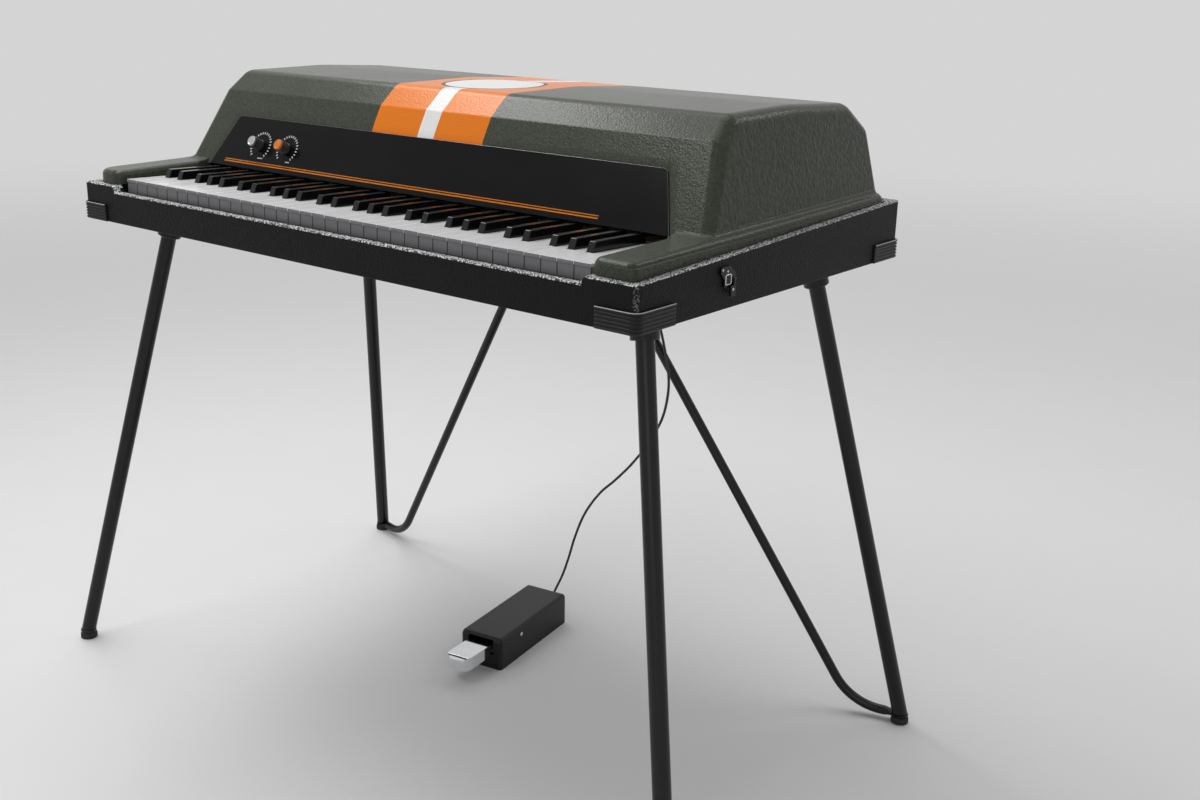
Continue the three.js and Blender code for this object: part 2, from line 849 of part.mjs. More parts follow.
function hammerRail() {
  const rail = box(-railReach, railReach, hammerRailFront, hammerRailFront + hammerRailDepth,
    hammerLow - hammerThick, hammerLow + hammerThick * 2);
  const hammers = stickCentres().map((x) => prismX([
    [headFront, hammerLow], [hammerRailFront + overlap, hammerLow],
    [hammerRailFront + overlap, hammerLow + hammerThick],
    [headFront + headDepth, hammerLow + hammerThick], [headFront + headDepth, headTop],
    [headFront, headTop],
  ], x - hammerWidth / 2, x + hammerWidth / 2));
  return join([rail, ...hammers]);
}

function damperRail() {
  const depths = [damperFront, damperFront + damperDepth];
  const rail = box(-railReach, railReach, ...depths, damperLow, damperHigh);
  const dampers = stickCentres().map((x) => box(x - damperWidth / 2, x + damperWidth / 2,
    damperFront + overlap, damperFront + damperDepth - overlap, damperHigh - overlap, damperTop));
  return join([rail, ...dampers]);
}

// Ribbed guard wrapped round one lower corner of the case
function cornerGuard(sideX, rear) {
  const low = caseBottom;
  const pitch = (guardTop - guardLip - low) / guardRibs;
  const skin = [[fit, low], [guardBase, low]];
  for (let i = 0; i < guardRibs; i += 1) {
    const z = low + pitch * i;
    const [rise, fall, end] = ribShares.map((share) => z + pitch * share);
    skin.push([guardBase + guardRib, rise], [guardBase + guardRib, fall], [guardBase, end]);
  }
  skin.push([guardProud, guardTop - guardLip], [guardProud, guardTop], [fit, guardTop]);
  const depth = rear ? caseRear : caseFront;
  const back = rear ? -1 : 1;
  const stations = [[caseHalf + guardProud - guardFrontWing, depth, 0, -back]];
  for (let i = 0; i <= roundSteps; i += 1) {
    const angle = (i / roundSteps) * (Math.PI / 2);
    const along = [Math.sin(angle), Math.cos(angle)];
    const x = caseHalf - caseCorner + caseCorner * along[0];
    stations.push([x, depth + back * caseCorner * (1 - along[1]), along[0], -back * along[1]]);
  }
  stations.push([caseHalf, depth + back * (guardSideWing - guardProud), 1, 0]);
  const rings = stations.map(([x, y, nx, ny]) => skin.map(([out, z]) => (
    [sideX * (x + nx * out), y + ny * out, z])));
  return loft(rings, skin);
}

// Latch keeper and its lever on a case side
function latchPlate(side) {
  const edges = [side * (caseHalf + fit), side * (caseHalf + fit + latchThick)].sort((a, b) => a - b);
  const neck = latchFront + latchNeck;
  const outline = [
    [latchFront, latchHigh], [neck, latchHigh - latchStep], [neck, latchLow], [latchRear, latchLow],
    [latchRear, latchHigh - latchShoulder], [latchRear - latchSlant, latchHigh],
  ];
  return prismX(outline, ...edges);
}

function latchLever(side) {
  const inner = caseHalf + fit + latchThick + fit;
  const edges = [side * inner, side * (inner + leverThick)].sort((a, b) => a - b);
  const corners = [
    [leverFront, leverLow], [leverRear, leverLow], [leverRear, leverHigh], [leverFront, leverHigh],
  ];
  return prismX(roundedPolygon(corners, leverRounds, plateSteps), ...edges);
}

// Leg line from its socket to its foot
function legLine(sideX, rear) {
  const top = legTops[rear ? 1 : 0];
  const foot = legFeet[rear ? 1 : 0];
  const start = new THREE.Vector3(sideX * top[0], top[1], caseBottom);
  const end = new THREE.Vector3(sideX * foot[0], foot[1], legAimZ);
  return { start, end, way: end.clone().sub(start).normalize() };
}

function pointAt(line, distance) {
  return line.start.clone().addScaledVector(line.way, distance).toArray();
}

function slab(low, high) {
  const wide = caseHalf * 2;
  return box(-wide, wide, -wide, wide, low, high);
}

function legSocket(sideX, rear) {
  const line = legLine(sideX, rear);
  const top = caseBottom - fit;
  const x = line.start.x;
  const y = line.start.y;
  const half = socketWidth / 2;
  const plan = [[x - half, y - half], [x + half, y - half], [x + half, y + half], [x - half, y + half]];
  const rounded = roundedPolygon(plan, plan.map(() => socketRadius), plateSteps);
  const plate = prismZ(rounded, top - plateThick, top);
  const boss = rod(pointAt(line, 0), pointAt(line, socketLength), socketRadius, legSides);
  const bore = rod(pointAt(line, 0), pointAt(line, socketLength * 2), legRadius + fit, legSides);
  const low = caseBottom - socketLength * 2;
  const below = bore.intersect(slab(low, top - plateThick));
  return plate.add(boss.intersect(slab(low, top - slack)).subtract(below));
}

function leg(sideX, rear) {
  const line = legLine(sideX, rear);
  const length = line.start.distanceTo(line.end);
  const ends = [pointAt(line, -legRadius), pointAt(line, length + legRadius)];
  const tube = rod(...ends, legRadius, legSides).subtract(
    rod(pointAt(line, -legRadius * 2), pointAt(line, length + legRadius * 2), legBore, legSides));
  return tube.intersect(slab(legEndZ, caseBottom - fit - plateThick - fit));
}

function foot(sideX, rear) {
  const { end } = legLine(sideX, rear);
  const low = floorZ;
  const edge = slack;
  const pad = [[0, low], [padRadius - edge, low], [padRadius, low + edge], [padRadius, padHigh]];
  const collar = rear ? [] : [[collarRadius, padHigh], [collarRadius, collarHigh]];
  const stud = [[studRadius, rear ? padHigh : collarHigh], [studRadius, studHigh], [0, studHigh]];
  return turned([...pad, ...collar, ...stud], legSides).translate([end.x, end.y, 0]);
}

// Brace drawn in its own upright plane, with the foot at the origin and the top at a distance
function bracePlane(sideX) {
  const foot = legFeet[1];
  const towards = new THREE.Vector2(braceTop[0] - foot[0], braceTop[1] - foot[1]);
  const distance = towards.length();
  towards.normalize();
  return {
    distance,
    slope: (distance - braceRun) / (braceTopZ - braceFlatZ),
    at: (u, v, z) => [
      sideX * (foot[0] + towards.x * u - towards.y * v), foot[1] + towards.y * u + towards.x * v, z,
    ],
  };
}

// Points down the brace with its cross section half width and half height
function braceStations(plane) {
  const angle = Math.atan2(1, plane.slope);
  const tangent = braceBend * Math.tan(angle / 2);
  const topZ = caseBottom - fit - plateThick - braceRadius;
  const topU = plane.distance - (braceTopZ - topZ) * plane.slope;
  const stations = [[topU, topZ, angle, braceRadius, braceRadius]];
  const bendZ = braceFlatZ + braceBend;
  for (let i = 0; i <= braceBendSteps; i += 1) {
    const turn = angle * (1 - i / braceBendSteps);
    const u = braceRun - tangent + braceBend * Math.sin(turn);
    stations.push([u, bendZ - braceBend * Math.cos(turn), turn, braceRadius, braceRadius]);
  }
  stations.push([eyeFlat, braceFlatZ, 0, braceRadius, braceRadius]);
  eyeShares.forEach(([along, wide]) => {
    stations.push([eyeRadius * along, braceFlatZ, 0, eyeRadius * wide, eyeThick / 2]);
  });
  return stations;
}

function brace(sideX) {
  const plane = bracePlane(sideX);
  const circle = Array.from({ length: braceSides }, (_, i) => {
    const angle = ((i + 1 / 2) / braceSides) * Math.PI * 2;
    return [Math.cos(angle), Math.sin(angle)];
  });
  const rings = braceStations(plane).map(([u, z, turn, wide, high]) => circle.map(([c, s]) => (
    plane.at(u - high * s * Math.sin(turn), wide * c, z + high * s * Math.cos(turn)))));
  const tube = loft(rings, circle);
  const [x, y] = plane.at(0, 0, 0);
  const ends = [[x, y, braceFlatZ - eyeThick], [x, y, braceFlatZ + eyeThick]];
  return tube.subtract(rod(...ends, studRadius + boltClear, legSides));
}

// Plate in the middle of the underside with two sleeves for the braces
function braceBracket() {
  const top = caseBottom - fit;
  const y = braceTop[1];
  const plan = [
    [-bracketHalfX, y - bracketHalfY], [bracketHalfX, y - bracketHalfY],
    [bracketHalfX, y + bracketHalfY], [-bracketHalfX, y + bracketHalfY],
  ];
  const radii = plan.map(() => bracketSleeve);
  const rounded = roundedPolygon(plan, radii, plateSteps);
  const parts = [prismZ(rounded, top - plateThick, top)];
  const below = slab(caseBottom - bracketSleeveLength * 2, top - plateThick);
  for (const side of [-1, 1]) {
    const plane = bracePlane(side);
    const at = (z) => plane.at(plane.distance - (braceTopZ - z) * plane.slope, 0, z);
    const sleeve = rod(at(top), at(top - bracketSleeveLength), bracketSleeve, legSides);
    const bore = rod(at(top), at(top - bracketSleeveLength * 2), braceRadius + fit, legSides);
    parts.push(sleeve.intersect(slab(caseBottom - bracketSleeveLength * 2, top - slack))
      .subtract(bore.intersect(below)));
  }
  return join(parts);
}

// Pedal pieces in their own frame, from the front of the housing on the floor
function pedalHousing() {
  const corners = [[0, 0], [0, pedalHigh], [pedalLength, pedalHigh], [pedalLength, 0]];
  const radii = [0, pedalNose, pedalNose, 0];
  const outer = roundedForm(corners, radii, pedalCorner, () => pedalHalf, roundSteps);
  const wall = pedalWall;
  const high = pedalHigh - wall;
  const hollow = box(wall - pedalHalf, pedalHalf - wall, wall, pedalLength - wall, -slack, high);
  const half = treadleHalf + windowSlack;
  const window = box(-half, half, -slack, wall + slack, windowBottom, high);
  return outer.subtract(hollow.add(window));
}

function pedalTreadle() {
  const rise = treadleHigh - treadleThick;
  const bend = treadleCurl - treadleReach;
  const points = [
    [treadleRoot, treadleRootZ - treadleThick], [treadleRoot, treadleRootZ],
    [bend, treadleHigh], [treadleNose - treadleReach, treadleHigh - treadleThick / 2],
    [-treadleReach, rise - treadleNose], [-treadleReach, treadleTipZ],
    [treadleThick - treadleReach, treadleTipZ], [treadleThick - treadleReach, rise - treadleNose],
    [bend, rise],
  ];
  const plan = [
    [-treadleHalf, -treadleReach], [treadleHalf, -treadleReach],
    [treadleHalf, treadleRoot], [-treadleHalf, treadleRoot],
  ];
  const rounded = roundedPolygon(plan, [treadleRound, treadleRound, 0, 0], noseSteps);
  const cut = prismZ(rounded, 0, pedalHigh);
  const plate = prismX(points.reverse(), -treadleHalf, treadleHalf).intersect(cut);
  const reach = pedalHalf - pedalWall - slack / 2;
  const z = treadleRootZ - treadleThick / 2;
  return plate.add(rod([-reach, treadleRoot, z], [reach, treadleRoot, z], barrelRadius, knobSides));
}

// Socket through the case floor and the straight plug below it
function pedalJack() {
  const top = floorTop + jackDrop;
  const low = caseBottom - fit - jackDrop;
  const profile = [
    [jackBore, low], [jackFlange, low], [jackFlange, caseBottom - fit], [jackRadius, caseBottom - fit],
    [jackRadius, top], [jackBore, top], [jackBore, low],
  ];
  return turned(profile, legSides).translate([...jackPlace, 0]);
}

function pedalPlug() {
  const top = caseBottom - fit - jackDrop - fit;
  const low = top - plugLength;
  const profile = [
    [0, low], [plugNeck, low], [plugRadius, low + plugTaper], [plugRadius, top], [plugTip, top],
    [plugTip, top + plugTipLength], [0, top + plugTipLength],
  ];
  return turned(profile, knobSides).translate([...jackPlace, 0]);
}

function pedalCord() {
  const plugEnd = caseBottom - fit - jackDrop - fit - plugLength - fit;
  const rear = new THREE.Vector3(0, pedalLength + fit, cordEntry);
  rear.applyAxisAngle(new THREE.Vector3(0, 0, 1), pedalTurn);
  rear.add(new THREE.Vector3(...pedalPlace, floorZ));
  const straight = new THREE.Vector3(0, pedalNose * 2, 0);
  straight.applyAxisAngle(new THREE.Vector3(0, 0, 1), pedalTurn).add(rear);
  const points = [new THREE.Vector3(...jackPlace, plugEnd)];
  cordHang.forEach((point) => points.push(new THREE.Vector3(...point)));
  points.push(straight, rear);
  const path = new THREE.CatmullRomCurve3(points, false, 'centripetal');
  const circle = new THREE.Shape(Array.from({ length: cordSides }, (_, i) => {
    const angle = (i / cordSides) * Math.PI * 2;
    return new THREE.Vector2(cordRadius * Math.cos(angle), cordRadius * Math.sin(angle));
  }));
  return solidOf(new THREE.ExtrudeGeometry(circle, { steps: cordSteps, extrudePath: path }));
}

// Assembly
const piano = new THREE.Group();
const bodyGroup = new THREE.Group();
bodyGroup.position.set(0, -(legFeet[0][1] + legFeet[1][1]) / 2, keyHeight);
piano.add(bodyGroup);
const keyGroup = new THREE.Group();
keyGroup.rotation.x = -keyFall;
bodyGroup.add(keyGroup);
const pedalGroup = new THREE.Group();
pedalGroup.position.set(...pedalPlace, floorZ);
pedalGroup.rotation.z = pedalTurn;
bodyGroup.add(pedalGroup);

function place(name, solid, finish, group = bodyGroup) {
  const [color, roughness, metalness] = finishes[finish];
  const material = new THREE.MeshStandardMaterial({ color, roughness, metalness });
  const mesh = new THREE.Mesh(geometryOf(solid), material);
  mesh.name = name;
  group.add(mesh);
}

place('lower_case', lowerCase(), 'tolex');
place('key_frame', keyFrame(), 'wood');
place('top_cover', topCover(), 'cover');
place('fascia_panel', fasciaPanel(), 'panel');
place('control_pots', controlPots(), 'steel');
place('volume_knob', knob(knobXs[0]), 'grey');
place('tone_knob', knob(knobXs[1]), 'orange');
place('harp_frame', harpFrame(), 'wood');
place('tone_bar_set', toneBarSet(), 'steel');
place('pickup_rail', pickupRail(), 'plastic');
place('hammer_rail', hammerRail(), 'plastic');
place('damper_rail', damperRail(), 'steel');

for (let octave = 0; octave < octaves; octave += 1) {
  if (octave === singleOctave) {
    naturalNames.forEach((note, index) => {
      place(`key_${note}`, naturalKey(octave, index), 'ivory', keyGroup);
    });
    sharpNames.forEach((note, index) => {
      place(`key_${note}`, sharpKey(octave, index, false), 'ebony', keyGroup);
    });
  } else {
    place(`white_keys_${octave + 1}`, naturalSet(octave), 'ivory', keyGroup);
    place(`black_keys_${octave + 1}`, sharpSet(octave), 'ebony', keyGroup);
  }
}

for (const [side, hand] of [[-1, 'left'], [1, 'right']]) {
  place(`latch_plate_${hand}`, latchPlate(side), 'steel');
  place(`latch_lever_${hand}`, latchLever(side), 'chrome');
  place(`rear_brace_${hand}`, brace(side), 'chrome');
  for (const [rear, end] of [[false, 'front'], [true, 'rear']]) {
    place(`corner_guard_${end}_${hand}`, cornerGuard(side, rear), 'plastic');
    place(`leg_socket_${end}_${hand}`, legSocket(side, rear), 'blackSteel');
    place(`leg_${end}_${hand}`, leg(side, rear), 'blackSteel');
    place(`foot_${end}_${hand}`, foot(side, rear), 'rubber');
  }
}

place('brace_bracket', braceBracket(), 'blackSteel');
place('pedal_housing', pedalHousing(), 'plastic', pedalGroup);
place('pedal_treadle', pedalTreadle(), 'chrome', pedalGroup);
place('pedal_jack', pedalJack(), 'steel');
place('pedal_plug', pedalPlug(), 'plastic');
place('pedal_cord', pedalCord(), 'rubber');

export default piano;
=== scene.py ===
"""Electric piano with a racing striped cover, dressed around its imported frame."""

import logging
import math
from dataclasses import dataclass, field
from enum import Enum, IntEnum
from functools import cached_property
from typing import Callable, Optional, Sequence, Union

import bmesh
import bpy
from mathutils import Matrix, Vector


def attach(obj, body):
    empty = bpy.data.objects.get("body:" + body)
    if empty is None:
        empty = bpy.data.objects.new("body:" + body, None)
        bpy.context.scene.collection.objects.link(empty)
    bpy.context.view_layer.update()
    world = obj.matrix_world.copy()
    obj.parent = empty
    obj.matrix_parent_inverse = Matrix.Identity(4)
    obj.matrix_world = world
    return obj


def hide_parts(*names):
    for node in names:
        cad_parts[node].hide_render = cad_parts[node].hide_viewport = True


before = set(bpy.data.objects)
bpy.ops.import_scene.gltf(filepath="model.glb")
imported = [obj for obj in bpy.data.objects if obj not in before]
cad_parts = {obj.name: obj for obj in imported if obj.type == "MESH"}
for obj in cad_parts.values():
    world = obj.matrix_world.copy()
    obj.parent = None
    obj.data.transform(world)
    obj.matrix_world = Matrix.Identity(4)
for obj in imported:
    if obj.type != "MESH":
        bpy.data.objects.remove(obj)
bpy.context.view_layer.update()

ROOT = "piano"
MM = 0.001
ROUND_STEPS = 8
log = logging.getLogger(ROOT)

Pair = tuple[float, float]
Triple = tuple[float, float, float]
Pairs = tuple[Pair, ...]


class Side(Enum):
    """A named side of the piano, whose value is its sign."""

    @property
    def word(self) -> str:
        """The word used in node names."""
        return self.name.lower()


class Hand(Side):
    """The bass and treble ends of the piano."""

    LEFT = -1
    RIGHT = 1

    def span(self, near: float, far: float) -> list[float]:
        """Two distances from the middle as low and high X on this side."""
        return sorted((self.value * near, self.value * far))


class End(Side):
    """The player's side and the far side of the piano."""

    FRONT = 1
    REAR = -1


class Axis(Enum):
    """Where a prism's two drawn axes and its length go among X, Y and Z."""

    X = (2, 0, 1)
    Z = (0, 1, 2)


class Join(Enum):
    """What a tool does to a form."""

    ADD = "UNION"
    TAKE = "DIFFERENCE"
    KEEP = "INTERSECT"


@dataclass(frozen=True)
class Datum:
    """Where the drawing, in millimetres from the white keys' front top edge, stands in the frame."""

    key_height: float = 760.0
    middle_depth: float = 277.0
    key_fall: float = math.radians(1.2)
    face_foot: Pair = (142.0, 10.0)
    face_tilt: float = math.atan2(1.0, 0.537)
    pedal_place: Pair = (-31.0, 310.0)
    pedal_turn: float = math.radians(9.27)

    @property
    def drawing(self) -> Matrix:
        """Drawing millimetres to metres in the frame."""
        return Matrix.Scale(MM, 4) @ Matrix.Translation((0, -self.middle_depth, self.key_height))

    @property
    def keys(self) -> Matrix:
        """The keys' own drawing, which falls to the rear."""
        return self.drawing @ Matrix.Rotation(-self.key_fall, 4, "X")

    @property
    def face(self) -> Matrix:
        """The sloping face, drawn in X and height up the slope with depth outwards."""
        foot = Matrix.Translation((0, *self.face_foot))
        return self.drawing @ foot @ Matrix.Rotation(self.face_tilt, 4, "X")

    @property
    def pedal(self) -> Matrix:
        """The pedal's own drawing, from the middle of its front edge on the floor."""
        place = Matrix.Translation((*self.pedal_place, -self.key_height))
        return self.drawing @ place @ Matrix.Rotation(self.pedal_turn, 4, "Z")


DATUM = Datum()


class Signal:
    """A shader value that adds Math nodes when it is used in an expression."""

    def __init__(self, bench: "Bench", socket: bpy.types.NodeSocket) -> None:
        """Keep the tree and the socket."""
        self.bench = bench
        self.socket = socket

    def math(self, operation: str, *values: "Value") -> "Signal":
        """One Math node on this value and any further ones."""
        inputs = dict(enumerate((self, *values)))
        return self.bench.node("ShaderNodeMath", {"operation": operation}, inputs)

    def __add__(self, other: "Value") -> "Signal":
        """Sum."""
        return self.math("ADD", other)

    __radd__ = __add__

    def __mul__(self, other: "Value") -> "Signal":
        """Product."""
        return self.math("MULTIPLY", other)

    __rmul__ = __mul__

    def __sub__(self, other: "Value") -> "Signal":
        """Difference."""
        return self.math("SUBTRACT", other)

    def __rsub__(self, other: "Value") -> "Signal":
        """Reflected difference."""
        return (self * -1.0).math("ADD", other)

    def __gt__(self, other: "Value") -> "Signal":
        """One where this is larger."""
        return self.math("GREATER_THAN", other)

    def __lt__(self, other: "Value") -> "Signal":
        """One where this is smaller."""
        return self.math("LESS_THAN", other)

    def __abs__(self) -> "Signal":
        """Size without sign."""
        return self.math("ABSOLUTE")

    def hypot(self, other: "Signal") -> "Signal":
        """Length of this and another at right angles."""
        return (self * self + other * other).math("SQRT")

    def blend(self, other: "Signal", share: float) -> "Signal":
        """A share of this and the rest of another."""
        return self * share + other * (1.0 - share)


Value = Union[Signal, float, Sequence[float]]


class Bench:
    """A shader tree while it is being wired."""

    def __init__(self, owner: Union[bpy.types.Material, bpy.types.World]) -> None:
        """Empty the tree of a material or world."""
        owner.use_nodes = True
        self.tree = owner.node_tree
        self.tree.nodes.clear()

    @cached_property
    def coords(self) -> Signal:
        """Object coordinates."""
        return self.node("ShaderNodeTexCoord", {}, {}, "Object")

    def node(self, kind: str, settings: dict, inputs: dict,
             output: Union[int, str, None] = 0) -> Optional[Signal]:
        """Add one node.

        Args:
            kind: the node's type.
            settings: its properties, or "stops" for a colour ramp.
            inputs: values or signals by socket name or number.
            output: the name or number of the output to use, or None for a closing node.

        Returns:
            That output.
        """
        node = self.tree.nodes.new(kind)
        for name, value in settings.items():
            if name == "stops":
                self._stops(node.color_ramp, value)
            else:
                setattr(node, name, value)
        for name, value in inputs.items():
            if isinstance(value, Signal):
                self.tree.links.new(value.socket, node.inputs[name])
            else:
                node.inputs[name].default_value = value
        return None if output is None else Signal(self, node.outputs[output])

    @staticmethod
    def _stops(ramp: bpy.types.ColorRamp, stops: Pairs) -> None:
        """Set a grey ramp's stops from place and level pairs."""
        while len(ramp.elements) < len(stops):
            ramp.elements.new(1.0)
        for element, (place, level) in zip(ramp.elements, stops):
            element.position = place
            element.color = (level, level, level, 1.0)

    def noise(self, size: float, detail: float = 2.0, stretch: Triple = (1, 1, 1)) -> Signal:
        """Smooth noise in object space.

        Args:
            size: the size of its spots in millimetres.
            detail: how many finer layers it has.
            stretch: how much longer the spots are along each axis.

        Returns:
            A level from 0 to 1.
        """
        scale = [1.0 / part for part in stretch]
        coords = self.node("ShaderNodeMapping", {}, {"Vector": self.coords, "Scale": scale})
        inputs = {"Vector": coords, "Scale": 1.0 / (size * MM), "Detail": detail}
        return self.node("ShaderNodeTexNoise", {}, inputs, "Fac")

    def cells(self, size: float, smooth: float) -> Signal:
        """Distance to the nearest of many points, so many millimetres apart and smoothed."""
        inputs = {"Vector": self.coords, "Scale": 1.0 / (size * MM), "Smoothness": smooth}
        return self.node("ShaderNodeTexVoronoi", {"feature": "SMOOTH_F1"}, inputs, "Distance")

    def axes(self, matrix: Matrix) -> tuple[Signal, ...]:
        """X, Y and Z in millimetres of a local drawing, from the matrix that puts it in the frame."""
        dot = {"operation": "DOT_PRODUCT"}
        return tuple(self.node("ShaderNodeVectorMath", dot, {0: self.coords, 1: row[:3]}, "Value") + row[3]
                     for row in matrix.inverted()[:3])

    def ramp(self, level: Signal, stops: Pairs) -> Signal:
        """Bend a level through a grey ramp."""
        return self.node("ShaderNodeValToRGB", {"stops": stops}, {"Fac": level}, "Color")

    def span(self, level: Signal, low: float, high: float) -> Signal:
        """Bring a 0 to 1 level to the range from low to high."""
        return level * (high - low) + low

    def mix(self, factor: Signal, first: Value, second: Value) -> Signal:
        """Blend two colours, each a signal or a red, green and blue."""
        sides = [side if isinstance(side, Signal) else (*side, 1.0) for side in (first, second)]
        settings = {"data_type": "RGBA", "clamp_factor": True}
        return self.node("ShaderNodeMix", settings, {0: factor, 6: sides[0], 7: sides[1]}, 2)

    def shade(self, level: Signal, colour: Triple, depth: float) -> Signal:
        """Darken and lighten a colour by a share as a level goes from 0 to 1."""
        dark, light = ([part * (1 + way) for part in colour] for way in (-depth, depth))
        return self.mix(level, dark, light)

    def bump(self, height: Signal, depth: float, strength: float = 1.0) -> Signal:
        """A normal from a height of so many millimetres."""
        inputs = {"Height": height, "Distance": depth * MM, "Strength": strength}
        return self.node("ShaderNodeBump", {}, inputs, "Normal")

    def normal(self, axis: str) -> Signal:
        """One part of the surface's smooth normal."""
        found = self.node("ShaderNodeNewGeometry", {}, {}, "Normal")
        return self.node("ShaderNodeSeparateXYZ", {}, {"Vector": found}, axis)

    def seen_rays(self) -> Signal:
        """One for rays from the camera, off gloss or through glass, and nothing for the rest."""
        camera, glossy, through = (self.node("ShaderNodeLightPath", {}, {}, f"Is {kind} Ray")
                                   for kind in ("Camera", "Glossy", "Transmission"))
        return camera.math("MAXIMUM", glossy).math("MAXIMUM", through)

    def surface(self, **sockets: Value) -> Signal:
        """A Principled surface from its inputs, with underscores for the spaces in their names."""
        inputs = {name.replace("_", " "): value for name, value in sockets.items()}
        return self.node("ShaderNodeBsdfPrincipled", {}, inputs)


@dataclass(frozen=True)
class Finish:
    """A named surface that is wired once and shared by its pieces."""

    name: str

    def wire(self, bench: Bench) -> Signal:
        """The surface, wired on an empty bench."""
        raise NotImplementedError

    def material(self) -> bpy.types.Material:
        """The shared material, made on first use."""
        known = bpy.data.materials.get(self.name)
        if known is None:
            known = bpy.data.materials.new(self.name)
            bench = Bench(known)
            bench.node("ShaderNodeOutputMaterial", {}, {"Surface": self.wire(bench)}, None)
        return known


@dataclass(frozen=True)
class GrainedCloth(Finish):
    """Black coated cloth with a pebbled grain, with a painted highlight on the pebble tips over the rim, the
    notch's step faces and the corners.
    """

    name: str = "grained_cloth"
    colour: Triple = (0.009, 0.009, 0.010)
    rubbed: Triple = (0.90, 0.90, 0.90)
    vary: float = 0.35
    pebble: float = 2.3
    pebble_smooth: float = 0.35
    pebble_share: float = 0.6
    fine: float = 0.35
    patch: float = 60.0
    tips: Pairs = ((0.40, 1.0), (0.54, 0.04))
    upward: Pairs = ((0.12, 0.0), (0.5, 1.0))
    corners: Pairs = ((0.2, 0.0), (0.5, 1.0))
    rim_wear: float = 0.95
    corner_wear: float = 0.2
    rough: Pair = (0.28, 0.6)
    specular: float = 0.10
    relief: Pair = (0.8, 0.4)
    depth: float = 0.6
    notch_half: float = 427.0
    notch_low: float = -19.5
    ledge_front: float = -10.0
    ledge_rear: float = 20.0

    def wire(self, bench: Bench) -> Signal:
        """Pebbles from cells, broken up by finer noise, with a painted highlight on their tips on upward
        faces.
        """
        pebbles = bench.cells(self.pebble, self.pebble_smooth)
        fine = bench.noise(self.pebble * self.fine, 3.0)
        grain = pebbles.blend(fine, self.pebble_share)
        x, y, z = bench.axes(DATUM.drawing)
        inside = abs(x) < self.notch_half
        # Painted highlight: upward faces, the notch's step faces and the rounded corners are paler on the
        # pebble tips, except on the ledge.
        notch = inside * (z > self.notch_low) * (y < self.ledge_front)
        ledge = inside * (y > self.ledge_front) * (y < self.ledge_rear)
        lit_faces = bench.ramp(bench.normal("Z"), self.upward).math("MAXIMUM", notch)
        corner = bench.ramp(abs(bench.normal("X") * bench.normal("Y")), self.corners)
        glints = lit_faces * self.rim_wear + corner * self.corner_wear
        glints = glints * bench.ramp(grain, self.tips) * (1.0 - ledge)
        base = bench.shade(bench.noise(self.patch).blend(fine, 0.5), self.colour, self.vary)
        return bench.surface(
            Base_Color=bench.mix(glints, base, self.rubbed),
            Roughness=bench.span(grain, *self.rough),
            Specular_IOR_Level=self.specular,
            Normal=bench.bump(pebbles * self.relief[0] + fine * self.relief[1], self.depth),
        )


@dataclass(frozen=True)
class StripedMoulding(Finish):
    """Dark green moulding with an orange band, a white centre line and a white roundel."""

    name: str = "striped_moulding"
    green: Triple = (0.052, 0.058, 0.043)
    orange: Triple = (0.80, 0.205, 0.012)
    white: Triple = (0.83, 0.83, 0.82)
    black: Triple = (0.012, 0.012, 0.013)
    vary: float = 0.28
    band_half: float = 102.5
    line_half: float = 15.0
    centre: float = -5.0
    hood_foot: float = 24.0
    roundel_centre: Pair = (-7.0, 318.4)
    roundel_radius: float = 74.0
    disc_radius: float = 68.0
    patch: float = 90.0
    grain: float = 2.6
    end_grain: float = 6.0
    end_share: float = 0.7
    flecks: Pairs = ((0.38, 0.0), (0.62, 1.0))
    rough: Pair = (0.18, 0.30)
    specular: float = 0.17
    relief: Triple = (0.5, 1.5, 0.2)
    depth: float = 0.7

    def wire(self, bench: Bench) -> Signal:
        """Print the band, the line and the roundel in drawing coordinates over an orange peel grain."""
        x, y, z = bench.axes(DATUM.drawing)
        band = (abs(x - self.centre) < self.band_half) * (z > self.hood_foot) * (y > DATUM.face_foot[0])
        line = (abs(x - self.centre) < self.line_half) * band
        reach = (x - self.roundel_centre[0]).hypot(y - self.roundel_centre[1])
        ring = (reach < self.roundel_radius) * band
        disc = (reach < self.disc_radius) * band
        patches = bench.noise(self.patch)
        grain = bench.noise(self.grain, 1.5)
        coarse = bench.noise(self.end_grain, 1.0)
        flank = abs(bench.normal("X")).math("POWER", 4.0)
        ends = flank * self.end_share
        flecks = bench.ramp(grain * (1.0 - ends) + coarse * ends, self.flecks)
        colour = bench.shade(patches.blend(flecks, 0.3), self.green, self.vary)
        for mask, paint in ((band, self.orange), (line, self.white), (ring, self.black), (disc, self.white)):
            colour = bench.mix(mask, colour, paint)
        even, steep, shallow = self.relief
        return bench.surface(
            Base_Color=colour,
            Roughness=bench.span(patches.blend(grain, 0.5), *self.rough),
            Specular_IOR_Level=self.specular,
            Normal=bench.bump(grain * even + coarse * (flank * steep + shallow), self.depth, 0.9),
        )


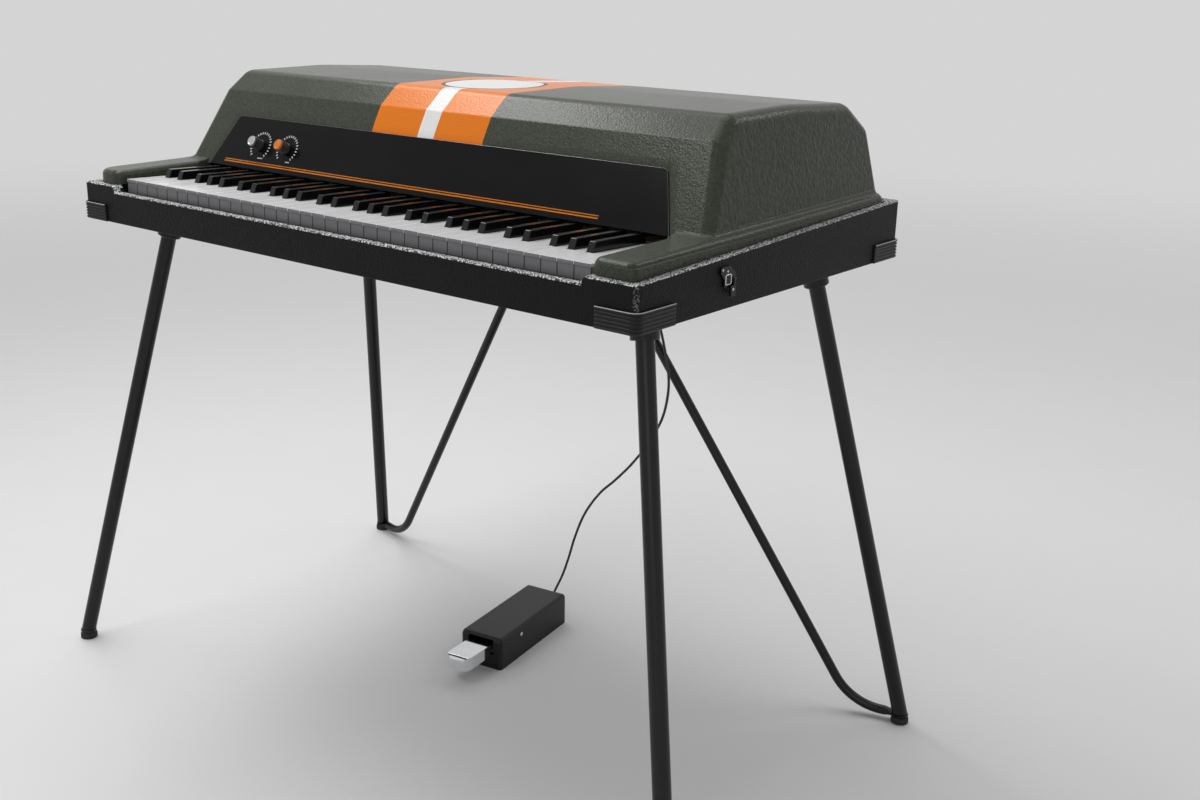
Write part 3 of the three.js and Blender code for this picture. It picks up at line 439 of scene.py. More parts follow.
@dataclass(frozen=True)
class PanelPaint(Finish):
    """Satin black sheet with a double orange pinstripe."""

    name: str = "panel_paint"
    colour: Triple = (0.006, 0.006, 0.007)
    stripe: Triple = (0.72, 0.21, 0.015)
    stripe_run: Pair = (-391.0, 316.5)
    wide: Pair = (8.0, 0.85)
    thin: Pair = (11.2, 0.6)
    dust: float = 0.9
    smear: float = 45.0
    rough: Pair = (0.16, 0.28)
    specular: float = 0.1

    def wire(self, bench: Bench) -> Signal:
        """Draw both stripes, each a height and a half width, over faint dust and polish marks."""
        x, rise, _ = bench.axes(DATUM.face)
        run = (x > self.stripe_run[0]) * (x < self.stripe_run[1])
        wide, thin = (abs(rise - height) < half for height, half in (self.wide, self.thin))
        dust = bench.noise(self.dust)
        smears = bench.noise(self.smear, 3.0, (3.0, 1.0, 1.0))
        return bench.surface(
            Base_Color=bench.mix((wide + thin) * run, bench.shade(smears, self.colour, 0.3), self.stripe),
            Roughness=bench.span(smears.blend(dust, 0.7), *self.rough),
            Specular_IOR_Level=self.specular,
            Normal=bench.bump(dust, 0.03, 0.5),
        )


@dataclass(frozen=True)
class Plastic(Finish):
    """Moulded plastic or enamel with faint unevenness."""

    colour: Triple = (0.5, 0.5, 0.5)
    rough: Pair = (0.2, 0.3)
    grain: float = 1.0
    depth: float = 0.05
    vary: float = 0.06
    specular: float = 0.5
    coat: float = 0.0
    coat_rough: float = 0.08
    patch: float = 30.0

    def wire(self, bench: Bench) -> Signal:
        """Broad patches in the colour and fine grain in the gloss."""
        patches = bench.noise(self.patch, 3.0)
        fine = bench.noise(self.grain)
        return bench.surface(
            Base_Color=bench.shade(patches.blend(fine, 0.7), self.colour, self.vary),
            Roughness=bench.span(patches.blend(fine, 0.4), *self.rough),
            Specular_IOR_Level=self.specular,
            Coat_Weight=self.coat,
            Coat_Roughness=self.coat_rough,
            Normal=bench.bump(fine, self.depth, 0.6),
        )


@dataclass(frozen=True)
class Metal(Finish):
    """Bare or plated metal with drawn marks."""

    colour: Triple = (0.6, 0.6, 0.62)
    rough: Pair = (0.18, 0.32)
    stretch: Triple = (1.0, 20.0, 1.0)
    streak: float = 0.8
    dulling: float = 14.0
    vary: float = 0.12

    def wire(self, bench: Bench) -> Signal:
        """Long fine streaks in gloss and height under wider dulling."""
        streaks = bench.noise(self.streak, 3.0, self.stretch)
        dull = bench.noise(self.dulling, 3.0)
        return bench.surface(
            Base_Color=bench.shade(dull.blend(streaks, 0.6), self.colour, self.vary),
            Metallic=1.0,
            Roughness=bench.span(streaks.blend(dull, 0.5), *self.rough),
            Normal=bench.bump(streaks, 0.02, 0.5),
        )


@dataclass(frozen=True)
class Timber(Finish):
    """Bare wood with its grain along the depth or the width of the piano."""

    colour: Triple = (0.52, 0.35, 0.18)
    stretch: Triple = (1.0, 14.0, 1.0)
    ring: float = 7.0
    pore: float = 0.7
    bands: Pairs = ((0.3, 0.0), (0.45, 0.8), (0.6, 0.3), (0.75, 1.0))
    rough: Pair = (0.5, 0.72)

    def tint(self, bench: Bench, rings: Signal, pores: Signal) -> Signal:
        """The wood's colour, banded by its rings."""
        return bench.shade(bench.ramp(rings, self.bands).blend(pores, 0.7), self.colour, 0.28)

    def wire(self, bench: Bench) -> Signal:
        """Rings from stretched noise with darker pores."""
        rings = bench.noise(self.ring, 4.0, self.stretch)
        pores = bench.noise(self.pore, 2.0, self.stretch)
        return bench.surface(
            Base_Color=self.tint(bench, rings, pores),
            Roughness=bench.span(pores, *self.rough),
            Normal=bench.bump(rings.blend(pores, 0.3), 0.06, 0.6),
        )


@dataclass(frozen=True)
class PaintedTimber(Timber):
    """Bare wood whose front is flat black as painted shade."""

    painted_to: float = 24.0
    # Flat black for the painted shade in the dark slot under the key fronts.
    paint: Triple = (0.012, 0.012, 0.012)

    def tint(self, bench: Bench, rings: Signal, pores: Signal) -> Signal:
        """Flat black ahead of a depth over the wood's colour, as painted shade."""
        _, depth, _ = bench.axes(DATUM.drawing)
        wood = bench.shade(rings.blend(pores, 0.7), self.colour, 0.3)
        return bench.mix(depth < self.painted_to, wood, self.paint)


@dataclass(frozen=True)
class Rubber(Finish):
    """Matt black rubber or cord jacket."""

    colour: Triple = (0.012, 0.012, 0.012)
    rough: Pair = (0.5, 0.7)
    bloom: float = 9.0
    skin: float = 0.5
    vary: float = 0.4

    def wire(self, bench: Bench) -> Signal:
        """Bloom in patches over a fine skin."""
        bloom = bench.noise(self.bloom, 4.0)
        skin = bench.noise(self.skin)
        return bench.surface(
            Base_Color=bench.shade(bloom, self.colour, self.vary),
            Roughness=bench.span(bloom.blend(skin, 0.6), *self.rough),
            Normal=bench.bump(skin, 0.04, 0.6),
        )


@dataclass(frozen=True)
class StudioPaper(Finish):
    """Pale seamless floor that fades into the backdrop."""

    name: str = "studio_paper"
    colour: Triple = (0.85, 0.85, 0.85)
    vary: float = 0.012
    fibre: float = 120.0
    rough: Pair = (0.75, 0.85)
    specular: float = 0.2
    backdrop: float = 0.66
    fade: Pair = (1.6, 7.0)

    def wire(self, bench: Bench) -> Signal:
        """Nearly even paper, which rays from the camera or off gloss see as backdrop far away."""
        fibres = bench.noise(self.fibre, 3.0)
        x, y, _ = bench.axes(Matrix.Identity(4))
        inputs = {"Value": x.hypot(y), "From Min": self.fade[0], "From Max": self.fade[1]}
        far = bench.node("ShaderNodeMapRange", {"interpolation_type": "SMOOTHSTEP"}, inputs)
        paper = bench.surface(
            Base_Color=bench.shade(fibres, self.colour, self.vary),
            Roughness=bench.span(fibres, *self.rough),
            Specular_IOR_Level=self.specular,
        )
        glow = bench.node("ShaderNodeEmission", {}, {"Color": (1, 1, 1, 1), "Strength": self.backdrop})
        return bench.node("ShaderNodeMixShader", {}, {0: far * bench.seen_rays(), 1: paper, 2: glow})


CLOTH = GrainedCloth()
MOULDING = StripedMoulding()
PANEL = PanelPaint()
PAPER = StudioPaper()
IVORY = Plastic("key_ivory", (0.83, 0.83, 0.84), (0.16, 0.26), 1.2, 0.02, 0.02, 0.5, 0.2)
# The key fronts' dark grey is painted shade on the same white plastic as the tops.
SHADED_KEY_FRONT = Plastic("key_front_ivory", (0.20, 0.20, 0.21), (0.26, 0.38), 1.2, 0.02, 0.04, 0.5)
EBONY = Plastic("key_ebony", (0.005, 0.005, 0.006), (0.08, 0.14), 1.0, 0.02, 0.2, 0.22, 0.3)
STICK = Timber("key_stick", (0.56, 0.41, 0.24))
FRAME_WOOD = PaintedTimber("frame_softwood", (0.55, 0.38, 0.20), (14.0, 1.0, 1.0))
HARP_WOOD = Timber("harp_hardwood", (0.46, 0.29, 0.15), (14.0, 1.0, 1.0))
SATIN_BLACK = Plastic("satin_black_enamel", (0.006, 0.006, 0.007), (0.2, 0.32), 0.8, 0.02, 0.25, 0.32)
MOULDED_BLACK = Plastic("moulded_black", (0.008, 0.008, 0.008), (0.3, 0.46), 0.6, 0.05, 0.25, 0.3)
# Pale grey for the guards' lip crest: a painted highlight.
GUARD_CREST_HIGHLIGHT = Plastic("worn_edge_grey", (0.50, 0.50, 0.51), (0.25, 0.4), 0.8, 0.05, 0.3)
TRIM = Metal("thin_trim", (0.20, 0.20, 0.205), (0.25, 0.4), (1.0, 1.0, 1.0))
HAMMER_CREAM = Plastic("hammer_cream", (0.72, 0.69, 0.60), (0.35, 0.5), 1.0, 0.03, 0.06)
PLATED = Metal("plated_steel", (0.62, 0.63, 0.65), (0.16, 0.32), (1.0, 6.0, 1.0))
CHROME = Metal("polished_chrome", (0.80, 0.81, 0.83), (0.04, 0.12), (1.0, 3.0, 1.0))
TONE_STEEL = Metal("tone_bar_steel", (0.52, 0.52, 0.54), (0.25, 0.42))
DAMPER_STEEL = Metal("damper_spring_steel", (0.55, 0.56, 0.58), (0.28, 0.45))
CAP_GREY = Metal("cap_grey", (0.55, 0.56, 0.58), (0.3, 0.42), (1.0, 1.0, 1.0))
CAP_ORANGE = Plastic("cap_orange", (0.68, 0.19, 0.02), (0.3, 0.42), 0.8, 0.03, 0.08)
RIB_GREY = Plastic("rib_grey", (0.16, 0.16, 0.17), (0.35, 0.5), 0.8, 0.03, 0.15)
PRINT_WHITE = Plastic("print_white", (0.70, 0.70, 0.70), (0.35, 0.5), 0.8, 0.01, 0.08)
FOOT_RUBBER = Rubber("foot_rubber")
CORD_JACKET = Rubber("cord_jacket", (0.014, 0.014, 0.014), (0.38, 0.55))


def settle(piece: bpy.types.Object) -> None:
    """Turn a piece's modifiers into plain mesh."""
    depsgraph = bpy.context.evaluated_depsgraph_get()
    mesh = bpy.data.meshes.new_from_object(piece.evaluated_get(depsgraph), depsgraph=depsgraph)
    piece.modifiers.clear()
    piece.data = mesh


def link(name: str, data: bpy.types.ID) -> bpy.types.Object:
    """An object in the scene for a mesh, curve, lamp or camera."""
    piece = bpy.data.objects.new(name, data)
    bpy.context.scene.collection.objects.link(piece)
    return piece


def discard(piece: bpy.types.Object) -> None:
    """Remove a helper object."""
    bpy.data.objects.remove(piece, do_unlink=True)


class Growth:
    """A Geometry Nodes tree with named inputs, run once on a carrier mesh."""

    def __init__(self, name: str, inputs: dict[str, str]) -> None:
        """Start a tree.

        Args:
            name: the tree's name.
            inputs: socket types by input name, after the carrier's geometry.
        """
        self.tree = bpy.data.node_groups.new(name, "GeometryNodeTree")
        face = self.tree.interface
        face.new_socket("Carrier", in_out="INPUT", socket_type="NodeSocketGeometry")
        self.keys = {label: face.new_socket(label, in_out="INPUT", socket_type=kind).identifier
                     for label, kind in inputs.items()}
        face.new_socket("Result", in_out="OUTPUT", socket_type="NodeSocketGeometry")
        self.start = self.tree.nodes.new("NodeGroupInput")
        self.end = self.tree.nodes.new("NodeGroupOutput")

    def node(self, kind: str, settings: dict, inputs: dict,
             output: Union[int, str] = 0) -> bpy.types.NodeSocket:
        """Add one node.

        Args:
            kind: the node's type.
            settings: its properties.
            inputs: values, sockets or names of the tree's inputs by socket.
            output: the name or number of the output to use.

        Returns:
            That output.
        """
        node = self.tree.nodes.new(kind)
        for name, value in settings.items():
            setattr(node, name, value)
        for name, value in inputs.items():
            if isinstance(value, str) and value in self.start.outputs:
                self.tree.links.new(self.start.outputs[value], node.inputs[name])
            elif isinstance(value, bpy.types.NodeSocket):
                self.tree.links.new(value, node.inputs[name])
            else:
                node.inputs[name].default_value = value
        return node.outputs[output]

    def finish(self, geometry: bpy.types.NodeSocket) -> None:
        """End the tree in Realize Instances and Set Material."""
        realized = self.node("GeometryNodeRealizeInstances", {}, {0: geometry})
        painted = self.node("GeometryNodeSetMaterial", {}, {"Geometry": realized, "Material": "Finish"})
        self.tree.links.new(painted, self.end.inputs[0])

    def run(self, carrier: bpy.types.Mesh, values: dict) -> bpy.types.Mesh:
        """Grow the tree's geometry on a carrier.

        Args:
            carrier: points or edges in drawing millimetres.
            values: the named inputs.

        Returns:
            The grown mesh, in the same millimetres.
        """
        holder = link("growth_carrier", carrier)
        modifier = holder.modifiers.new("growth", "NODES")
        modifier.node_group = self.tree
        for label, value in values.items():
            modifier[self.keys[label]] = value
        settle(holder)
        grown = holder.data
        discard(holder)
        return grown


class Copies(Growth):
    """Copies of a template on a carrier's points, turned by a stored rotation."""

    def __init__(self) -> None:
        """Instance the template on points with a seeded spin about its own axis."""
        super().__init__("copies_on_points", {
            "Template": "NodeSocketObject", "Spin": "NodeSocketFloat", "Finish": "NodeSocketMaterial"})
        template = self.node("GeometryNodeObjectInfo", {}, {"Object": "Template"}, "Geometry")
        vector = {"data_type": "FLOAT_VECTOR"}
        stored = self.node("GeometryNodeInputNamedAttribute", vector, {"Name": "turn"})
        turn = self.node("FunctionNodeEulerToRotation", {}, {0: stored})
        limits = {2: 0.0, 3: "Spin", "Seed": 7}
        spins = self.node("FunctionNodeRandomValue", {"data_type": "FLOAT"}, limits, 1)
        axis = self.node("FunctionNodeAxisAngleToRotation", {}, {"Axis": (0, 0, 1), "Angle": spins})
        placed = self.node("GeometryNodeInstanceOnPoints", {}, {
            "Points": "Carrier", "Instance": template, "Rotation": turn})
        self.finish(self.node("GeometryNodeRotateInstances", {}, {"Instances": placed, "Rotation": axis}))

    def place(self, template: "Form", places: Sequence[tuple[Vector, Matrix]], finish: Finish,
              spin: float = 0.0) -> bpy.types.Mesh:
        """Put copies of a form at places.

        Args:
            template: the form to copy, drawn about its own origin.
            places: a point and a turn for each copy.
            finish: the copies' surface.
            spin: the most that a copy is turned about its own Z, from a fixed seed.

        Returns:
            One mesh of all the copies.
        """
        pattern = template.held()
        carrier = bpy.data.meshes.new("copy_places")
        carrier.from_pydata([point for point, _ in places], [], [])
        turns = carrier.attributes.new("turn", "FLOAT_VECTOR", "POINT")
        for entry, (_, turn) in zip(turns.data, places):
            entry.vector = turn.to_euler()
        grown = self.run(carrier, {"Template": pattern, "Spin": spin, "Finish": finish.material()})
        discard(pattern)
        return grown


class Ribs(Growth):
    """A round profile swept along the carrier's edges and repeated in even steps."""

    def __init__(self) -> None:
        """Sweep a circle along the path and copy it up a line."""
        super().__init__("ribs_along_path", {
            "Count": "NodeSocketInt", "Pitch": "NodeSocketVector", "Half": "NodeSocketFloat",
            "Sides": "NodeSocketInt", "Finish": "NodeSocketMaterial"})
        path = self.node("GeometryNodeMeshToCurve", {}, {0: "Carrier"})
        circle = self.node("GeometryNodeCurvePrimitiveCircle", {}, {"Resolution": "Sides", "Radius": "Half"})
        swept = self.node("GeometryNodeCurveToMesh", {}, {
            "Curve": path, "Profile Curve": circle, "Fill Caps": True})
        line = self.node("GeometryNodeMeshLine", {}, {"Count": "Count", "Offset": "Pitch"})
        self.finish(self.node("GeometryNodeInstanceOnPoints", {}, {"Points": line, "Instance": swept}))

    def sweep(self, path: Sequence[Vector], half: float, finish: Finish, count: int = 1,
              pitch: float = 0.0, sides: int = 16) -> bpy.types.Mesh:
        """Sweep a round bar along a path and repeat it upwards.

        Args:
            path: the points of the centre line.
            half: the bar's radius.
            finish: its surface.
            count: how many bars.
            pitch: the step up from one bar to the next.
            sides: the sides of the round section.

        Returns:
            One mesh of all the bars.
        """
        carrier = bpy.data.meshes.new("rib_path")
        carrier.from_pydata(list(path), [(i, i + 1) for i in range(len(path) - 1)], [])
        return self.run(carrier, {"Count": count, "Pitch": (0, 0, pitch), "Half": half, "Sides": sides,
                                  "Finish": finish.material()})


COPIES = Copies()
RIBS = Ribs()


def spokes(count: int) -> list[float]:
    """Even angles once round."""
    return [2 * math.pi * step / count for step in range(count)]


def oblong(low: Sequence[float], high: Sequence[float]) -> list[Pair]:
    """The corners of a rectangle, from the low one on."""
    return [(low[0], low[1]), (high[0], low[1]), (high[0], high[1]), (low[0], high[1])]


def facing(normal: Sequence[float]) -> Matrix:
    """A turn that brings +Z onto a direction."""
    return Vector(normal).to_track_quat("Z", "Y").to_matrix()


def arc(centre: Pair, radius: float, start: float, end: float) -> list[Pair]:
    """Points along a circular arc, both ends included."""
    angles = [start + (end - start) * step / ROUND_STEPS for step in range(ROUND_STEPS + 1)]
    return [(centre[0] + radius * math.cos(angle), centre[1] + radius * math.sin(angle)) for angle in angles]


def rounded(corners: Sequence[Pair], radii: Sequence[float], steps: int = ROUND_STEPS) -> list[Pair]:
    """An outline with its corners rounded.

    Args:
        corners: the sharp corners in order.
        radii: the radius at each corner, or zero.
        steps: steps along each round.

    Returns:
        The outline's points.
    """
    found = []
    count = len(corners)
    for i, (corner, radius) in enumerate(zip(corners, radii)):
        here = Vector(corner)
        if radius <= 0:
            found.append(tuple(here))
            continue
        back = (Vector(corners[i - 1]) - here).normalized()
        ahead = (Vector(corners[(i + 1) % count]) - here).normalized()
        half = math.acos(max(-1.0, min(1.0, back.dot(ahead)))) / 2
        centre = here + (back + ahead).normalized() * (radius / math.sin(half))
        start = here + back * (radius / math.tan(half)) - centre
        end = here + ahead * (radius / math.tan(half)) - centre
        turn = math.atan2(start.x * end.y - start.y * end.x, start.dot(end))
        for step in range(steps + 1):
            found.append(tuple(centre + Matrix.Rotation(turn * step / steps, 2) @ start))
    return found


def inset(corners: Sequence[Pair], depth: float) -> list[Pair]:
    """An outline with every edge but the last moved inwards.

    Args:
        corners: the corners, clockwise in Y and Z.
        depth: how far the edges move.

    Returns:
        The new corners.
    """
    edges = []
    count = len(corners)
    for i, corner in enumerate(corners):
        way = Vector(corners[(i + 1) % count]) - Vector(corner)
        shift = depth / way.length if i + 1 < count else 0.0
        edges.append((Vector(corner) + Vector((way.y, -way.x)) * shift, way))
    found = []
    for i, (point, way) in enumerate(edges):
        before, last = edges[i - 1]
        gap = point - before
        along = (gap.x * way.y - gap.y * way.x) / (last.x * way.y - last.y * way.x)
        found.append(tuple(before + last * along))
    return found


class Form:
    """Faces gathered in millimetres, which become one piece."""

    def __init__(self) -> None:
        """Start with no faces."""
        self.bm = bmesh.new()

    @classmethod
    def taken(cls, held: bpy.types.Object) -> "Form":
        """The faces of a helper object, which is removed."""
        form = cls().absorb(held.data.copy())
        discard(held)
        return form

    def skin(self, rings: Sequence[Sequence[Vector]], mark: int = 0, capped: bool = True) -> "Form":
        """Faces over a row of rings with the same count of points.

        Args:
            rings: the rings in order.
            mark: the finish's number.
            capped: whether both ends are closed.

        Returns:
            This form.
        """
        rows = [[self.bm.verts.new(point) for point in ring] for ring in rings]
        count = len(rings[0])
        faces = []
        for low, high in zip(rows, rows[1:]):
            for i in range(count):
                j = (i + 1) % count
                faces.append(self.bm.faces.new((low[i], low[j], high[j], high[i])))
        if capped:
            faces.append(self.bm.faces.new(rows[0][::-1]))
            faces.append(self.bm.faces.new(rows[-1]))
        for face in faces:
            face.material_index = mark
        bmesh.ops.recalc_face_normals(self.bm, faces=faces)
        return self

    def prism(self, outline: Sequence[Pair], low: float, high: float, axis: Axis = Axis.Z,
              mark: int = 0) -> "Form":
        """An outline, in X and Y for axis Z or Y and Z for axis X, carried along the axis."""
        return self.skin([[Vector([(u, v, w)[i] for i in axis.value]) for u, v in outline]
                          for w in (low, high)], mark)

    def block(self, low: Sequence[float], high: Sequence[float], mark: int = 0) -> "Form":
        """A box between two corners."""
        return self.prism(oblong(low, high), low[2], high[2], mark=mark)

    def turned(self, profile: Sequence[Pair], place: Matrix, sides: int = 32, mark: int = 0) -> "Form":
        """A solid turned from radius and height pairs about its own Z axis, where it is placed."""
        return self.skin([[place @ Vector((radius * math.cos(angle), radius * math.sin(angle), height))
                           for angle in spokes(sides)] for radius, height in profile], mark)

    def absorb(self, mesh: bpy.types.Mesh, mark: int = 0) -> "Form":
        """Add a finished mesh's faces.

        Args:
            mesh: the mesh, in the same millimetres.
            mark: the finish's number.

        Returns:
            This form.
        """
        known = set(self.bm.faces)
        self.bm.from_mesh(mesh)
        for face in self.bm.faces:
            if face not in known:
                face.material_index = mark
        bpy.data.meshes.remove(mesh)
        return self

    def soften(self, width: float, segments: int = 2, angle: float = 30.0,
               chosen: Callable[[bmesh.types.BMEdge], bool] = lambda edge: True) -> "Form":
        """Round the edges that turn by more than an angle.

        Args:
            width: how far the round reaches along each face.
            segments: steps on the round.
            angle: the least turn, in degrees.
            chosen: a further test on each edge.

        Returns:
            This form.
        """
        least = math.radians(angle)
        edges = [edge for edge in self.bm.edges
                 if len(edge.link_faces) == 2 and edge.calc_face_angle(0.0) > least and chosen(edge)]
        bmesh.ops.bevel(self.bm, geom=edges, offset=width, offset_type="OFFSET", segments=segments,
                        profile=0.5, affect="EDGES", clamp_overlap=True, material=-1)
        return self

    def mesh(self, name: str, finishes: Sequence[Finish] = ()) -> bpy.types.Mesh:
        """Close the form into a plain mesh in millimetres."""
        bmesh.ops.remove_doubles(self.bm, verts=self.bm.verts, dist=0.001)
        bmesh.ops.dissolve_degenerate(self.bm, edges=self.bm.edges, dist=0.0005)
        mesh = bpy.data.meshes.new(name)
        self.bm.to_mesh(mesh)
        self.bm.free()
        for finish in finishes:
            mesh.materials.append(finish.material())
        return mesh

    def held(self) -> bpy.types.Object:
        """A helper object of this form, for copying, joining or cutting."""
        return link("helper", self.mesh("helper"))

    def piece(self, name: str, finishes: Sequence[Finish], place: Matrix, sharp: float) -> bpy.types.Object:
        """Make the finished piece.

        Args:
            name: its name.
            finishes: its surfaces, in the order of the marks.
            place: millimetres to metres in the frame.
            sharp: edges that turn by more degrees stay crisp.

        Returns:
            The piece, at the origin with its place in its mesh.
        """
        mesh = self.mesh(name, finishes)
        mesh.transform(place)
        mesh.polygons.foreach_set("use_smooth", [True] * len(mesh.polygons))
        mesh.set_sharp_from_angle(angle=math.radians(sharp))
        piece = link(name, mesh)
        weighted = piece.modifiers.new("even_normals", "WEIGHTED_NORMAL")
        weighted.keep_sharp = True
        weighted.weight = 80
        settle(piece)
        piece.data.name = name
        return piece

    def dress(self, node: str, slot: str, finishes: Sequence[Finish], place: Matrix = DATUM.drawing,
              name: str = "", body: str = ROOT, sharp: float = 38.0) -> bpy.types.Object:
        """Make the finished piece that stands for a node.

        Args:
            node: the node.
            slot: its material slot in the record.
            finishes: its surfaces, in the order of the marks.
            place: millimetres to metres in the frame.
            name: the piece's name, where it isn't the node's with an ending.
            body: the body that carries it.
            sharp: edges that turn by more degrees stay crisp.

        Returns:
            The piece.
        """
        piece = self.piece(name or f"{node}_finished", finishes, place, sharp)
        fit(piece, slot, node, body)
        return piece


def fit(piece: bpy.types.Object, slot: str, node: str, body: str = ROOT) -> None:
    """Attach a piece to the body that carries it and hide the node that it replaces.

    Args:
        piece: the finished piece.
        slot: not used.
        node: the node that it stands for.
        body: the body that carries it.
    """
    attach(piece, body)
    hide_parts(node)
    log.info("%s: %d faces", piece.name, len(piece.data.polygons) if piece.type == "MESH" else 0)


def cut(held: bpy.types.Object, join: Join, *tools: Union[Form, bpy.types.Object]) -> bpy.types.Object:
    """Join tools to a helper or take them away, one after the other.

    Args:
        held: the helper that changes.
        join: what the tools do.
        tools: forms or helpers, which are removed.

    Returns:
        The helper.
    """
    for tool in tools:
        shape = tool.held() if isinstance(tool, Form) else tool
        modifier = held.modifiers.new("cut", "BOOLEAN")
        modifier.operation = join.value
        modifier.object = shape
        modifier.solver = "EXACT"
        settle(held)
        discard(shape)
    return held


def rounded_ends(corners: Sequence[Pair], radii: Sequence[float], edge: float,
                 half_at: Callable[[float], float]) -> Form:
    """An outline in Y and Z carried along X with both ends rounded over.

    Args:
        corners: the outline's sharp corners.
        radii: the radius at each.
        edge: the radius of the end edges.
        half_at: half the width at a height.

    Returns:
        The closed form.
    """
    rings = []
    for side in (-1, 1):
        for step in range(ROUND_STEPS + 1):
            share = step / ROUND_STEPS if side < 0 else 1 - step / ROUND_STEPS
            angle = share * math.pi / 2
            depth, shift = edge * (1 - math.sin(angle)), edge * (1 - math.cos(angle))
            bends = [max(0.3, radius - depth) if radius > 0 else 0.0 for radius in radii]
            rings.append([Vector((side * (half_at(z) - shift), y, z))
                          for y, z in rounded(inset(corners, depth), bends)])
    return Form().skin(rings)


def smooth_path(points: Sequence[Vector], steps: int) -> list[Vector]:
    """A centripetal curve through points, at even shares of its parameter.

    Args:
        points: the points that it passes.
        steps: how many steps it has.

    Returns:
        The points along it.
    """
    found = []
    last = len(points) - 1
    for step in range(steps + 1):
        place = last * step / steps
        i = min(int(place), last - 1)
        share = place - i
        p1, p2 = points[i], points[i + 1]
        p0 = points[i - 1] if i > 0 else p1 * 2 - p2
        p3 = points[i + 2] if i + 2 <= last else p2 * 2 - p1
        d0, d1, d2 = (math.sqrt((b - a).length) for a, b in ((p0, p1), (p1, p2), (p2, p3)))
        t1 = ((p1 - p0) / d0 - (p2 - p0) / (d0 + d1) + (p2 - p1) / d1) * d1
        t2 = ((p2 - p1) / d1 - (p3 - p1) / (d1 + d2) + (p3 - p2) / d2) * d1
        a = p1 * 2 - p2 * 2 + t1 + t2
        b = p2 * 3 - p1 * 3 - t1 * 2 - t2
        found.append(a * share ** 3 + b * share ** 2 + t1 * share + p1)
    return found


@dataclass(frozen=True)
class Screw:
    """A domed head with a raised cross, standing on its own XY plane."""

    radius: float
    height: float
    dome: Pairs = ((0.0, -0.5), (1.0, -0.5), (1.0, 0.35), (0.86, 0.72), (0.55, 0.95), (0.0, 1.0))
    arm: float = 0.62
    arm_half: float = 0.16
    along: Pair = (0.62, 1.03)
    across: Pair = (0.6, 1.02)

    def form(self) -> Form:
        """The head, drawn about its own origin from shares of its radius and height."""
        form = Form().turned([(self.radius * out, self.height * up) for out, up in self.dome], Matrix(), 20)
        arm, half = self.radius * self.arm, self.radius * self.arm_half
        for x, y, (low, high) in ((arm, half, self.along), (half, arm, self.across)):
            form.block((-x, -y, self.height * low), (x, y, self.height * high))
        return form


SOCKET_SCREW = Screw(4.2, 1.8)
PEDAL_SCREW = Screw(3.4, 1.2)
LATCH_SCREW = Screw(1.4, 0.8)
LATCH_RIVET = Screw(1.7, 0.7)


@dataclass(frozen=True)
class Lamp:
    """One soft rectangular lamp: where it hangs and aims in metres, its size and its watts."""

    name: str
    place: Triple
    aim: Triple
    size: Pair
    power: float

    def hang(self) -> None:
        """Hang it."""
        data = bpy.data.lights.new(self.name, "AREA")
        data.shape = "RECTANGLE"
        data.size, data.size_y = self.size
        data.energy = self.power
        turn = (Vector(self.aim) - Vector(self.place)).to_track_quat("-Z", "Y")
        link(self.name, data).matrix_world = Matrix.Translation(self.place) @ turn.to_matrix().to_4x4()


